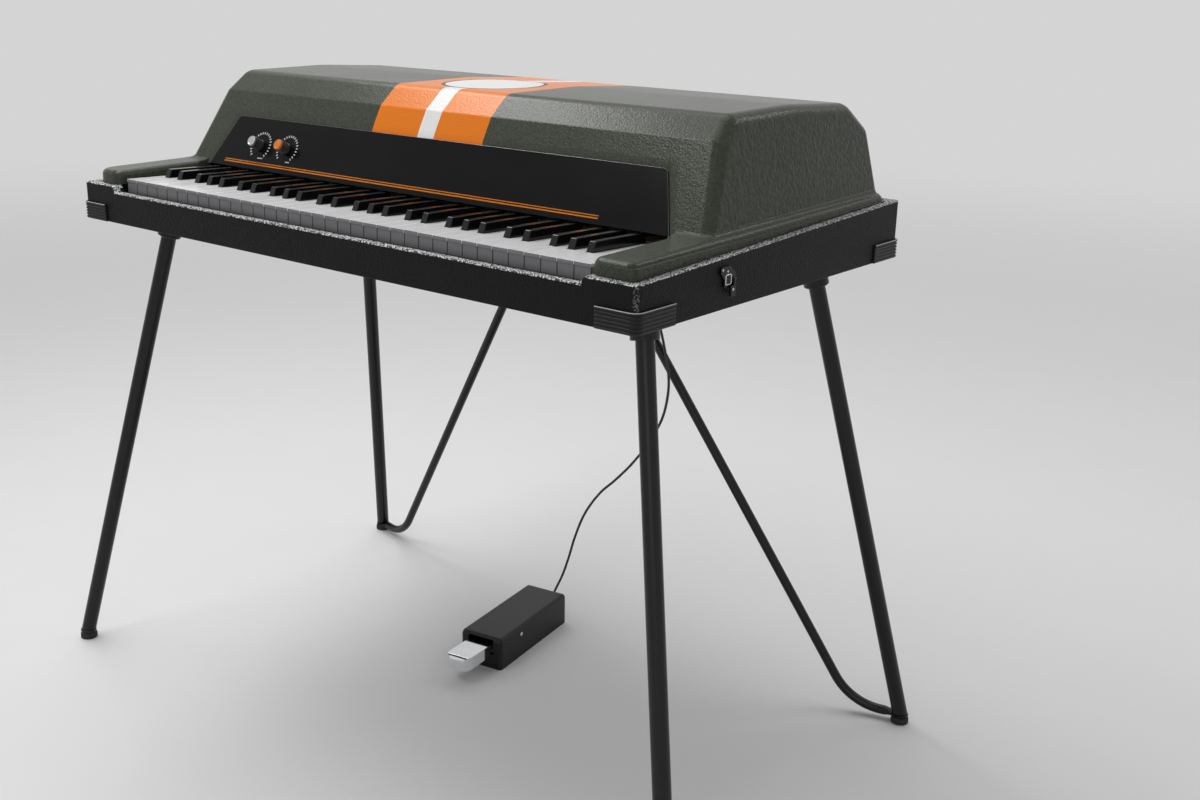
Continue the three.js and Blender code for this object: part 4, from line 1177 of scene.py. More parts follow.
@dataclass
class Studio:
    """Camera at the photograph's place, soft lamps and a pale floor."""

    eye: Triple = (1294.37, -1092.61, 288.08)
    yaw: float = 0.66379
    pitch: float = 0.30359
    roll: float = 0.02295
    focal_share: float = 1349.68 / 1200.0
    sensor: float = 36.0
    far_clip: float = 200.0
    floor_half: float = 30.0
    surround_level: float = 0.32
    sun_level: float = 0.85
    sun_angle: float = math.radians(50.0)
    sun_turn: Triple = (math.radians(-12.0), math.radians(-20.0), 0.0)
    lamps: tuple[Lamp, ...] = (
        Lamp("high_strip", (-0.95, -0.45, 2.35), (0.0, 0.0, 0.85), (2.3, 0.42), 24.0),
        Lamp("front_fill", (1.9, -3.0, 1.6), (0.0, 0.0, 0.5), (2.0, 1.6), 8.0),
        Lamp("edge_strip", (1.4, 2.15, 2.5), (0.3, 0.0, 0.8), (1.2, 0.2), 6.0),
    )

    def camera(self) -> None:
        """Stand the camera where the photograph was taken."""
        forward = Vector((-math.sin(self.yaw) * math.cos(self.pitch),
                          math.cos(self.yaw) * math.cos(self.pitch), -math.sin(self.pitch)))
        right = Vector((math.cos(self.yaw), math.sin(self.yaw), 0.0))
        up = right.cross(forward)
        tilted = right * math.cos(self.roll) + up * math.sin(self.roll)
        upright = up * math.cos(self.roll) - right * math.sin(self.roll)
        turn = Matrix((tilted, upright, -forward)).transposed().to_4x4()
        data = bpy.data.cameras.new("photograph_camera")
        data.sensor_width = self.sensor
        data.lens = self.focal_share * self.sensor
        data.clip_end = self.far_clip
        holder = link("photograph_camera", data)
        holder.matrix_world = Matrix.Translation(DATUM.drawing @ Vector(self.eye)) @ turn
        bpy.context.scene.camera = holder

    def lights(self) -> None:
        """The lamps, a wide soft sun from behind and an even pale surround."""
        for lamp in self.lamps:
            lamp.hang()
        sun = bpy.data.lights.new("soft_sun", "SUN")
        sun.energy = self.sun_level
        sun.angle = self.sun_angle
        link("soft_sun", sun).rotation_euler = self.sun_turn
        world = bpy.data.worlds.new("pale_surround")
        bench = Bench(world)
        level = bench.span(bench.seen_rays(), self.surround_level, PAPER.backdrop)
        back = bench.node("ShaderNodeBackground", {}, {"Color": (1.0, 1.0, 1.0, 1.0), "Strength": level})
        bench.node("ShaderNodeOutputWorld", {}, {"Surface": back}, None)
        bpy.context.scene.world = world

    def floor(self) -> None:
        """Lay the pale floor."""
        half = self.floor_half
        mesh = bpy.data.meshes.new("studio_floor")
        mesh.from_pydata([(x, y, 0) for x, y in oblong((-half, -half), (half, half))], [], [(0, 1, 2, 3)])
        mesh.materials.append(PAPER.material())
        link("studio_floor", mesh)

    def build(self) -> None:
        """Camera, lamps, floor and view."""
        self.camera()
        self.lights()
        self.floor()
        bpy.context.scene.view_settings.view_transform = "Standard"


@dataclass
class PedalLead:
    """The thin cord from the socket under the case to the back of the pedal, with its plug."""

    radius: float = 2.0
    steps: int = 150
    jack: Pair = (165.0, 470.0)
    case_bottom: float = -61.5
    gap: float = 0.3
    jack_drop: float = 4.0
    plug_length: float = 40.0
    tail: Pairs = ((2.2, 0.0), (3.0, 0.2))
    grip: Pairs = ((3.0, 0.0), (3.35, 0.5), (3.35, 1.5), (3.1, 2.0))
    grips: tuple[float, ...] = (1.5, 4.1, 6.7, 9.3)
    barrel: Pairs = ((5.1, 14.0), (5.5, 18.0), (5.5, 33.5), (5.0, 34.0), (5.0, 39.6), (4.6, 40.0))
    tip: Pairs = (
        (3.1, -0.5), (3.1, 6.0), (2.7, 6.2), (2.7, 6.8), (3.1, 7.0),
        (3.1, 10.5), (2.2, 11.2), (2.6, 12.4), (0.6, 13.9), (0.0, 14.0),
    )
    sleeve: Pairs = (
        (3.6, -4.0), (6.4, -4.0), (6.4, -3.0), (8.0, -3.0), (8.0, 16.3), (3.6, 16.3), (3.6, -4.0),
    )
    nut: Pairs = ((7.0, -3.2), (11.4, -3.2), (12.0, -2.8), (12.0, -1.4), (7.0, -1.2))
    washer: Pairs = ((7.0, -1.25), (12.0, -1.2), (12.0, 0.0), (7.0, 0.0))
    entry: Triple = (0.0, 202.3, 32.0)
    straight: float = 16.0
    hang: tuple[Triple, ...] = (
        (165, 470, -125), (172, 470, -170), (188, 470, -222), (198, 470, -262), (199, 471, -292),
        (189, 474, -335), (164, 478, -380), (127, 484, -428), (89, 492, -467), (53, 500, -500.6),
        (16, 509, -548), (-12, 519, -600), (-34, 529, -650), (-54, 538, -690), (-68, 541, -716),
    )

    @property
    def plug_top(self) -> float:
        """Height of the plug's upper face."""
        return self.case_bottom - self.gap - self.jack_drop - self.gap

    def route(self) -> list[Vector]:
        """The cord's centre line in metres in the frame."""
        start = Vector((*self.jack, self.plug_top - self.plug_length - self.gap))
        to_drawing = DATUM.drawing.inverted() @ DATUM.pedal
        back = to_drawing @ (Vector(self.entry) + Vector((0, self.straight, 0)))
        rear = to_drawing @ Vector(self.entry)
        points = [start, *(Vector(point) for point in self.hang), back, rear]
        return [DATUM.drawing @ point for point in smooth_path(points, self.steps)]

    def build(self) -> None:
        """Cord, plug and socket."""
        plug = self.plug()
        self.socket()
        route = self.route()
        curve = bpy.data.curves.new("pedal_lead", "CURVE")
        curve.dimensions = "3D"
        curve.bevel_depth = self.radius * MM
        curve.bevel_resolution = 4
        curve.use_fill_caps = True
        spline = curve.splines.new("POLY")
        spline.points.add(len(route) - 1)
        for knot, point in zip(spline.points, route):
            knot.co = (*point, 1.0)
        spline.use_smooth = True
        curve.materials.append(CORD_JACKET.material())
        lead = link("pedal_lead", curve)
        fit(lead, "cord_rubber", "pedal_cord")
        length = sum((b - a).length for a, b in zip(route, route[1:]))
        log.info("pedal lead is %.3f m long", length)
        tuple(route[0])

    def plug(self) -> bpy.types.Object:
        """Moulded body with ribbed grip, a tapered relief and the plated tip."""
        ribs = [(radius, base + height) for base in self.grips for radius, height in self.grip]
        low = Matrix.Translation((*self.jack, self.plug_top - self.plug_length))
        form = Form().turned([*self.tail, *ribs, *self.barrel], low)
        form.turned(self.tip, Matrix.Translation((*self.jack, self.plug_top)), 24, 1)
        return form.dress("pedal_plug", "plug_plastic", (MOULDED_BLACK, PLATED), name="lead_plug")

    def socket(self) -> None:
        """Threaded socket with its hexagon nut and washer under the case floor."""
        form = Form()
        place = Matrix.Translation((*self.jack, self.case_bottom - self.gap))
        for profile, sides in ((self.sleeve, 32), (self.nut, 6), (self.washer, 40)):
            form.turned(profile, place, sides)
        form.dress("pedal_jack", "bright_steel", (PLATED,), name="lead_socket")


class KeyPart(IntEnum):
    """A key's finishes, in their order."""

    TOP = 0
    STICK = 1
    FRONT = 2


@dataclass
class Keyboard:
    """Thirty-six naturals and twenty-five sharps on wooden sticks."""

    natural: float = 23.5
    octaves: int = 5
    single_octave: int = 2
    gap: float = 0.9
    head: float = 51.0
    neck: float = 50.0
    plate: float = 4.4
    plate_round: float = 0.7
    front_low: float = -19.6
    front_high: float = -4.2
    front_inset: float = 1.3
    front_thick: float = 2.6
    front_trim: float = 0.25
    front_round: float = 0.35
    front_normal: float = -0.5
    plate_end: float = 152.0
    length: float = 400.0
    thick: float = 20.0
    stick_trim: float = 0.6
    root: float = 1.0
    sharp_width: float = 10.4
    sharp_top: float = 8.7
    sharp_foot: float = 52.2
    sharp_toe: float = 0.4
    sharp_crest: float = 57.3
    sharp_rise: float = 11.7
    sharp_end: float = 150.0
    sharp_length: float = 375.0
    sharp_round: float = 1.15
    sharp_trim: float = 0.2
    bar_depth: float = 12.0
    bar_low: float = 10.0
    bar_high: float = 18.0
    tail_shares: Pairs = (
        (0, 0.0888), (0.1653, 0.2632), (0.3398, 0.4286), (0.4286, 0.5112),
        (0.5878, 0.676), (0.7526, 0.8407), (0.9173, 1),
    )
    sharp_shares: tuple[float, ...] = (0.1277, 0.3009, 0.5502, 0.7143, 0.8784)
    natural_names: tuple[str, ...] = ("c", "d", "e", "f", "g", "a", "b")
    sharp_names: tuple[str, ...] = ("c_sharp", "d_sharp", "f_sharp", "g_sharp", "a_sharp")

    @property
    def octave(self) -> float:
        """Width of an octave."""
        return self.natural * len(self.natural_names)

    @property
    def half(self) -> float:
        """Half the keyboard's width."""
        return (self.octave * self.octaves + self.natural) / 2

    def spans(self, octave: int, index: int) -> tuple[Pair, Pair]:
        """The head and the tail of a natural across the keyboard.

        Args:
            octave: which octave.
            index: which of its naturals.

        Returns:
            Low and high X of the head, and of the tail.
        """
        left = -self.half + octave * self.octave
        count = len(self.natural_names)
        shares = (0.0, 1.0 / count) if octave == self.octaves else self.tail_shares[index]
        edges = (index / count, (index + 1) / count)
        trims = [self.gap / 2 if abs(share - edge) < 0.001 else 0.0 for share, edge in zip(shares, edges)]
        head = (left + edges[0] * self.octave + self.gap / 2, left + edges[1] * self.octave - self.gap / 2)
        tail = (left + shares[0] * self.octave + trims[0], left + shares[1] * self.octave - trims[1])
        return head, tail

    def add_natural(self, form: Form, octave: int, index: int) -> None:
        """A one piece top with a front lip, its front plate and its stick.

        Args:
            form: what it is added to.
            octave: which octave.
            index: which natural.
        """
        head, tail = self.spans(octave, index)
        plan = [(head[0], 0.0), (head[1], 0.0)]
        if tail[1] < head[1]:
            plan += [(head[1], self.head), (tail[1], self.head)]
        plan += [(tail[1], self.plate_end), (tail[0], self.plate_end)]
        if tail[0] > head[0]:
            plan += [(tail[0], self.head), (head[0], self.head)]
        form.absorb(Form().prism(plan, -self.plate, 0.0).soften(self.plate_round, 3).mesh("key_top"))
        # Front faces take the darker key front finish, which is painted shade.
        for face in form.bm.faces:
            if face.normal.y < self.front_normal and abs(face.calc_center_median().y) < self.gap:
                face.material_index = KeyPart.FRONT
        rear = self.front_inset + self.front_thick
        plate = Form().block((head[0] + self.front_trim, self.front_inset, self.front_low),
                             (head[1] - self.front_trim, rear, self.front_high))
        form.absorb(plate.soften(self.front_round).mesh("key_front"), KeyPart.FRONT)
        for (left, right), start, end in ((head, rear, self.neck), (tail, self.neck, self.length)):
            form.block((left + self.stick_trim, start, -self.thick),
                       (right - self.stick_trim, end, -self.plate), KeyPart.STICK)

    def sharp_cap(self) -> Form:
        """A sharp's cap with drawn in sides and a sloping front, about its own middle."""
        half, top = self.sharp_width / 2, self.sharp_top / 2
        stations = ((half, self.sharp_foot - self.sharp_toe, -self.root), (half, self.sharp_foot, 0.0),
                    (top, self.sharp_crest, self.sharp_rise))
        rings = [[Vector((x, y, high)) for x, y in oblong((-width, front), (width, self.sharp_end))]
                 for width, front, high in stations]
        return Form().skin(rings).soften(self.sharp_round, 4, 25.0)

    def add_sharps(self, form: Form, places: Sequence[float]) -> None:
        """Caps from one template, each on its own stick.

        Args:
            form: what they are added to.
            places: the X of each.
        """
        points = [(Vector((x, 0, 0)), Matrix.Identity(3)) for x in places]
        form.absorb(COPIES.place(self.sharp_cap(), points, EBONY))
        half = self.sharp_width / 2 - self.sharp_trim
        for x in places:
            form.block((x - half, self.sharp_foot + self.stick_trim, -self.thick),
                       (x + half, self.sharp_length, -self.stick_trim), KeyPart.STICK)

    def build(self) -> None:
        """One piece for every key body, in its node's place."""
        for octave in range(self.octaves):
            if octave == self.single_octave:
                for index, note in enumerate(self.natural_names):
                    self.finish_naturals(f"key_{note}", octave, (index,))
                for index, note in enumerate(self.sharp_names):
                    self.finish_sharps(f"key_{note}", octave, (index,))
            else:
                self.finish_naturals(f"white_keys_{octave + 1}", octave, range(len(self.natural_names)))
                self.finish_sharps(f"black_keys_{octave + 1}", octave, range(len(self.sharp_names)))

    def finish_naturals(self, node: str, octave: int, indices: Sequence[int]) -> None:
        """The naturals of one body, with the bar that joins them where there are more than one.

        Args:
            node: the body's node.
            octave: which octave.
            indices: which of its naturals.
        """
        form = Form()
        for index in indices:
            self.add_natural(form, octave, index)
        if len(indices) > 1:
            last = (octave, indices[-1])
            if octave == self.octaves - 1:
                last = (self.octaves, 0)
                self.add_natural(form, *last)
            left, right = self.spans(octave, 0)[1][0], self.spans(*last)[1][1]
            form.block((left, self.length - self.bar_depth, -self.thick), (right, self.length, -self.root),
                       KeyPart.STICK)
        form.dress(node, "key_white", (IVORY, STICK, SHADED_KEY_FRONT), DATUM.keys, body=node)

    def finish_sharps(self, node: str, octave: int, indices: Sequence[int]) -> None:
        """The sharps of one body, with the bar that joins them where there are more than one.

        Args:
            node: the body's node.
            octave: which octave.
            indices: which of its sharps.
        """
        form = Form()
        places = [-self.half + (octave + self.sharp_shares[index]) * self.octave for index in indices]
        self.add_sharps(form, places)
        if len(places) > 1:
            half = self.sharp_width / 2
            start, end = self.sharp_length - self.bar_depth, self.sharp_length
            form.block((places[0] - half, start, self.bar_low), (places[-1] + half, end, self.bar_high),
                       KeyPart.STICK)
            half -= self.sharp_trim
            for x in places:
                form.block((x - half, start, -self.root),
                           (x + half, end - self.sharp_trim, self.bar_low + self.root), KeyPart.STICK)
        form.dress(node, "key_black", (EBONY, STICK), DATUM.keys, body=node)


@dataclass
class CaseTub:
    """Cloth covered lower case with a sloping rim and a low front rail."""

    half: float = 500.0
    front: float = -20.0
    rear: float = 560.0
    bottom: float = -61.5
    wall: float = 16.0
    floor: float = 12.0
    corner: float = 8.0
    rim_front: float = -9.5
    rim_rear: float = 14.5
    rail_half: float = 423.5
    rail_top: float = -17.6
    rail_flare: float = 0.68
    jack: Pair = (165.0, 470.0)
    jack_hole: float = 8.3
    edge: float = 2.4
    past: float = 10.0
    far_past: float = 40.0

    def notch(self, high: float) -> Form:
        """The space over the low front rail, whose ends lean outwards, up to a height."""
        half = self.rail_half
        top = half + (high - self.rail_top) * self.rail_flare
        outline = [(-half, self.rail_top), (half, self.rail_top), (top, high), (-top, high)]
        return Form().skin([[Vector((x, y, z)) for x, z in outline]
                            for y in (self.front - self.past, self.front + self.wall + self.past)])

    def above(self, high: float) -> Form:
        """The space over the sloping rim, up to a height."""
        lift = self.far_past * (self.rim_rear - self.rim_front) / (self.rear - self.front)
        front, rear, half = self.front - self.far_past, self.rear + self.far_past, self.half + self.far_past
        slope = [(front, self.rim_front - lift), (rear, self.rim_rear + lift), (rear, high), (front, high)]
        return Form().prism(slope, -half, half, Axis.X)

    def build(self) -> None:
        """Cut the tub, round its edges and dress it in cloth."""
        high = self.rim_rear + self.wall
        inner, floor = self.half - self.wall, self.bottom + self.floor
        plan = rounded(oblong((-self.half, self.front), (self.half, self.rear)), [self.corner] * 4)
        hollow = Form().block((-inner, self.front + self.wall, floor),
                              (inner, self.rear - self.wall, high + self.past))
        ends = [(self.jack_hole, self.bottom - self.past), (self.jack_hole, floor + self.past)]
        hole = Form().turned(ends, Matrix.Translation((*self.jack, 0)), 40)
        tub = cut(Form().prism(plan, self.bottom, high).held(), Join.TAKE,
                  self.above(high + self.far_past), hollow, self.notch(high + self.past), hole)
        form = Form.taken(tub).soften(self.edge, 4, 40.0)
        form.dress("lower_case", "case_covering", (CLOTH,), name="case_in_cloth")


@dataclass
class TopCover:
    """One moulding of two cheeks, a flange all round and the hood over the works."""

    half: float = 489.0
    front: float = -10.0
    rear: float = 552.0
    rim_front: float = -9.2
    rim_slope: float = 24.0 / 580.0
    case_front: float = -20.0
    body_half: float = 485.3
    top_front: float = 10.3
    top_slope: float = 0.0215
    wall: float = 5.0
    shell: float = 4.0
    shell_round: float = 6.5
    edge: float = 9.0
    corner: float = 10.0
    front_corner: float = 13.0
    well_half: float = 429.5
    well_rear: float = 151.0
    hood_end: float = 474.0
    end_height: float = 18.5
    draft: float = 0.24
    hood_edge: float = 15.0
    hood_corners: Pairs = (
        (142.0, 10.0), (198.0, 114.3), (230.0, 142.0), (370.0, 145.0), (504.0, 139.5),
        (547.0, 106.0), (552.0, 20.0),
    )
    hood_radii: tuple[float, ...] = (0.0, 9.0, 24.0, 500.0, 30.0, 16.0, 0.0)
    cove_front: float = 15.0
    cove_end: float = 5.0
    cove_high: float = 4.8
    cove_root: float = 3.0
    cove_past: Pair = (-0.3, 2.0)
    cove_rear: float = 3.6
    plan_radii: tuple[float, ...] = (26.0, 9.8, 20.0, 20.0)
    lip_radii: tuple[float, ...] = (34.0, 6.0, 20.0, 20.0)
    lip_front: float = 4.5
    lip_slope: float = 0.0192
    lip_round: float = 1.6
    dish: Pairs = (
        (-2.2, 0.35), (-1.0, 0.35), (-0.8, 1.0), (-0.55, 2.6), (-0.32, 5.0), (-0.12, 8.0),
        (0.0, 10.5), (0.8, 40.0),
    )
    low: float = -26.0
    past: float = 50.0
    panel_low: float = 422.0
    panel_high: float = 391.0
    panel_height: float = 79.5
    panel_foot: float = 0.5
    panel_corner: float = 8.0
    window_low: Triple = (-380.0, 12.0, -8.0)
    window_high: Triple = (380.0, 70.0, 5.0)

    def flange_top(self, y: float) -> float:
        """Height of the flange and cheek tops."""
        return self.top_front + self.top_slope * y

    def rim(self, y: float) -> float:
        """Height of the case rim under the flange."""
        return self.rim_front + self.rim_slope * (y - self.case_front)

    def hood_half(self, z: float, wall: float) -> float:
        """Half the hood's width at a height, inside a wall."""
        return self.hood_end - wall * math.hypot(1, self.draft) - self.draft * (z - self.end_height)

    def slab(self, half: float, radii: Sequence[float], top: Callable[[float], float]) -> Form:
        """A plan as deep as the flange, carried from the rim up to a sloping top."""
        plan = rounded(oblong((-half, self.front), (half, self.rear)), radii)
        return Form().skin([[Vector((x, y, height(y))) for x, y in plan] for height in (self.rim, top)])

    def base(self) -> Form:
        """Cheeks and flange as one slab with a rolled top edge."""
        form = self.slab(self.body_half, self.plan_radii, self.flange_top)
        return form.soften(self.edge, 8, 40.0, lambda edge: all(
            abs(vert.co.z - self.flange_top(vert.co.y)) < 0.1 for vert in edge.verts))

    def lip(self) -> Form:
        """The slightly proud band low on both sides."""
        form = self.slab(self.half, self.lip_radii, lambda y: self.lip_front + self.lip_slope * y)
        return form.soften(self.lip_round, 3, 40.0)

    def well(self) -> Form:
        """The space that the keyboard takes out of the slab, flared where the cheek tops are rolled over."""
        rings = []
        bend = self.front_corner
        centre = (self.well_half + bend, self.front + bend)
        for step in range(-2, ROUND_STEPS + 2):
            angle = min(max(step / ROUND_STEPS, 0.0), 1.0) * math.pi / 2
            grow, sunk = self.edge * (1 - math.cos(angle)), self.edge * (1 - math.sin(angle))
            if step > ROUND_STEPS:
                sunk = -self.past
            curve = arc(centre, bend - grow, math.pi, 1.5 * math.pi)
            right = [(self.well_half + grow, self.well_rear), *curve, (centre[0], self.front - self.past)]
            plan = [*right, *((-x, y) for x, y in reversed(right))]
            rings.append([Vector((x, y, self.low if step < -1 else self.flange_top(y) - sunk))
                          for x, y in plan])
        return Form().skin(rings)

    def skirt(self) -> Form:
        """The cove that leads from the hood down to the cheeks and flange."""
        rings = []
        depth, height = self.hood_corners[0]
        for step in range(-1, ROUND_STEPS + 2):
            angle = min(max(step / ROUND_STEPS, 0.0), 1.0) * math.pi / 2
            reach, lift = 1 - math.sin(angle), (1 - math.cos(angle)) * self.cove_high
            if step < 0:
                lift = -self.cove_root
            if step > ROUND_STEPS:
                reach, lift = self.cove_past[0], self.cove_high + self.cove_past[1]
            foot = self.flange_top(depth) + lift
            front = depth + (foot - height) / math.tan(DATUM.face_tilt) - self.cove_front * reach
            half = self.hood_half(foot, 0.0) + self.cove_end * reach
            plan = rounded(oblong((-half, front), (half, self.rear - self.cove_rear)), [self.hood_edge] * 4)
            rings.append([Vector((x, y, self.flange_top(y) + lift)) for x, y in plan])
        return Form().skin(rings)

    def hood(self) -> Form:
        """The outside of the hood."""
        return rounded_ends(self.hood_corners, self.hood_radii, self.hood_edge,
                            lambda z: self.hood_half(z, 0.0))

    def hood_space(self) -> Form:
        """The inside of the hood."""
        inner = inset(self.hood_corners, self.wall)
        inner[-1] = (inner[-1][0], self.low)
        radii = (0.0, 0.0, *(max(0.3, radius - self.wall) for radius in self.hood_radii[1:-1]), 0.0)
        return rounded_ends([(inner[0][0], self.low), *inner], radii, self.hood_edge - self.wall,
                            lambda z: self.hood_half(max(z, self.hood_corners[0][1]), self.wall))

    def cheek_space(self, hand: Hand) -> Form:
        """The inside of one cheek and its flange."""
        front, rear = self.front + self.shell, self.rear - self.shell
        high, rear_high = (self.flange_top(y) - self.shell for y in (front, rear))
        outline = [(front, self.low), (rear, self.low), (rear, rear_high), (front + self.corner, high),
                   (front, high - self.corner)]
        span = hand.span(self.well_half + self.shell, self.half - self.shell)
        return Form().prism(outline, *span, Axis.X).soften(self.shell_round, 4, 60.0)

    def panel_outline(self, grow: float) -> list[Pair]:
        """The fascia's outline on the sloping face, grown by a gap."""
        wide, narrow = self.panel_low + grow, self.panel_high + grow
        low, high = self.panel_foot - grow, self.panel_height + grow
        return rounded([(-wide, low), (wide, low), (narrow, high), (-narrow, high)],
                       (0.0, 0.0, self.panel_corner, self.panel_corner))

    def face_cuts(self) -> list[Form]:
        """The fascia's recess with the shallow dish that leads down to it, and the window behind it."""
        dish = Form().skin([[Vector((x, t, depth)) for x, t in self.panel_outline(grow)]
                            for depth, grow in self.dish])
        window = Form().block(self.window_low, self.window_high)
        for form in (dish, window):
            form.bm.transform(DATUM.drawing.inverted() @ DATUM.face)
        return [dish, window]

    def build(self) -> None:
        """Join and cut the moulding, round it and dress it."""
        opening = Form().block((-self.well_half, self.front - self.past, self.low),
                               (self.well_half, self.well_rear, self.past))
        skirt = cut(self.skirt().held(), Join.TAKE, opening)
        cover = cut(self.base().held(), Join.ADD, self.lip())
        cut(cover, Join.TAKE, self.well())
        cut(cover, Join.ADD, self.hood(), skirt)
        cheeks = [self.cheek_space(hand) for hand in Hand]
        cut(cover, Join.TAKE, self.hood_space(), *cheeks, *self.face_cuts())
        Form.taken(cover).dress("top_cover", "cover_green", (MOULDING,), name="green_cover", sharp=50.0)


@dataclass
class Fascia:
    """Black panel on the sloping face with dial marks round its two knobs."""

    cover: TopCover
    knobs: Pair = (-321.9, -263.0)
    rise: float = 37.0
    hole: float = 4.0
    hole_reach: float = 9.0
    proud: float = 0.6
    thick: float = 2.5
    edge: float = 0.35
    trim: float = 0.45
    trim_inset: float = 0.25
    trim_sunk: float = 0.1
    tick_low: Triple = (-0.8, 0.0, -0.05)
    tick_high: Triple = (0.8, 3.4, 0.08)
    tick_radius: float = 18.2
    tick_count: int = 21
    tick_sweep: float = math.radians(270.0)
    label_rise: float = 17.4
    label_high: float = 1.7
    labels: Pairs = ((-314.6, 5.6), (-253.6, 4.4))
    foot: float = 1.1
    barrel: Pairs = ((3.5, 0.0), (8.6, 0.0), (8.6, 2.2), (7.8, 3.0), (7.7, 14.8), (7.7, 15.4), (3.5, 15.4))
    cap: Pairs = (
        (0.0, 15.0), (7.5, 15.0), (7.7, 15.6), (7.7, 18.0), (7.1, 18.8), (5.8, 19.0), (5.2, 18.5),
        (0.0, 18.4),
    )
    rib_low: Triple = (-0.45, -0.5, 3.2)
    rib_high: Triple = (0.45, 0.55, 14.7)
    rib_round: float = 0.2
    rib_ring: float = 7.8
    rib_count: int = 18
    pointer_low: Triple = (-0.5, 2.0, 18.3)
    pointer_high: Triple = (0.5, 6.6, 18.65)

    def panel(self) -> None:
        """The panel with softened edges and a thin bright edge strip."""
        panel = Form().prism(self.cover.panel_outline(0.0), self.proud - self.thick, self.proud).held()
        hole = [(self.hole, -self.hole_reach), (self.hole, self.hole_reach)]
        places = (Matrix.Translation((x, self.rise, 0)) for x in self.knobs)
        cut(panel, Join.TAKE, *(Form().turned(hole, place) for place in places))
        form = Form.taken(panel).soften(self.edge, 2, 40.0)
        outline = self.cover.panel_outline(-self.trim_inset)
        path = [Vector((*point, self.proud - self.trim_sunk)) for point in (*outline[1:], outline[0])]
        form.absorb(RIBS.sweep(path, self.trim / 2, TRIM, sides=8), 1)
        self.marks(form)
        form.dress("fascia_panel", "panel_black", (PANEL, TRIM, PRINT_WHITE), DATUM.face, name="fascia")

    def marks(self, form: Form) -> None:
        """Ticks round each knob and a short bar under it."""
        places = []
        for x in self.knobs:
            for i in range(self.tick_count):
                angle = self.tick_sweep * (i / (self.tick_count - 1) - 0.5)
                way = Vector((math.sin(angle), math.cos(angle), 0))
                point = Vector((x, self.rise, self.proud)) + way * self.tick_radius
                places.append((point, Matrix.Rotation(-angle, 3, "Z")))
        tick = Form().block(self.tick_low, self.tick_high)
        form.absorb(COPIES.place(tick, places, PRINT_WHITE), 2)
        for x, half in self.labels:
            form.block((x - half, self.label_rise, self.proud + self.tick_low[2]),
                       (x + half, self.label_rise + self.label_high, self.proud + self.tick_high[2]), 2)

    def knob(self, x: float) -> Form:
        """A skirted barrel with grip ribs, a cap and a pointer line."""
        centre = Vector((x, self.rise, self.foot))
        place = Matrix.Translation(centre)
        form = Form().turned(self.barrel, place, 48).turned(self.cap, place, 48, 1)
        places = []
        for angle in spokes(self.rib_count):
            way = Vector((math.cos(angle), math.sin(angle), 0))
            places.append((centre + way * self.rib_ring, Matrix.Rotation(angle - math.pi / 2, 3, "Z")))
        rib = Form().block(self.rib_low, self.rib_high).soften(self.rib_round, 1)
        form.absorb(COPIES.place(rib, places, RIB_GREY), 2)
        return form.block(centre + Vector(self.pointer_low), centre + Vector(self.pointer_high), 3)

    def build(self) -> None:
        """The panel and both knobs."""
        self.panel()
        for x, node, cap, slot in ((self.knobs[0], "volume_knob", CAP_GREY, "knob_grey"),
                                   (self.knobs[1], "tone_knob", CAP_ORANGE, "knob_orange")):
            finishes = (MOULDED_BLACK, cap, RIB_GREY, PRINT_WHITE)
            self.knob(x).dress(node, slot, finishes, DATUM.face, body=node)


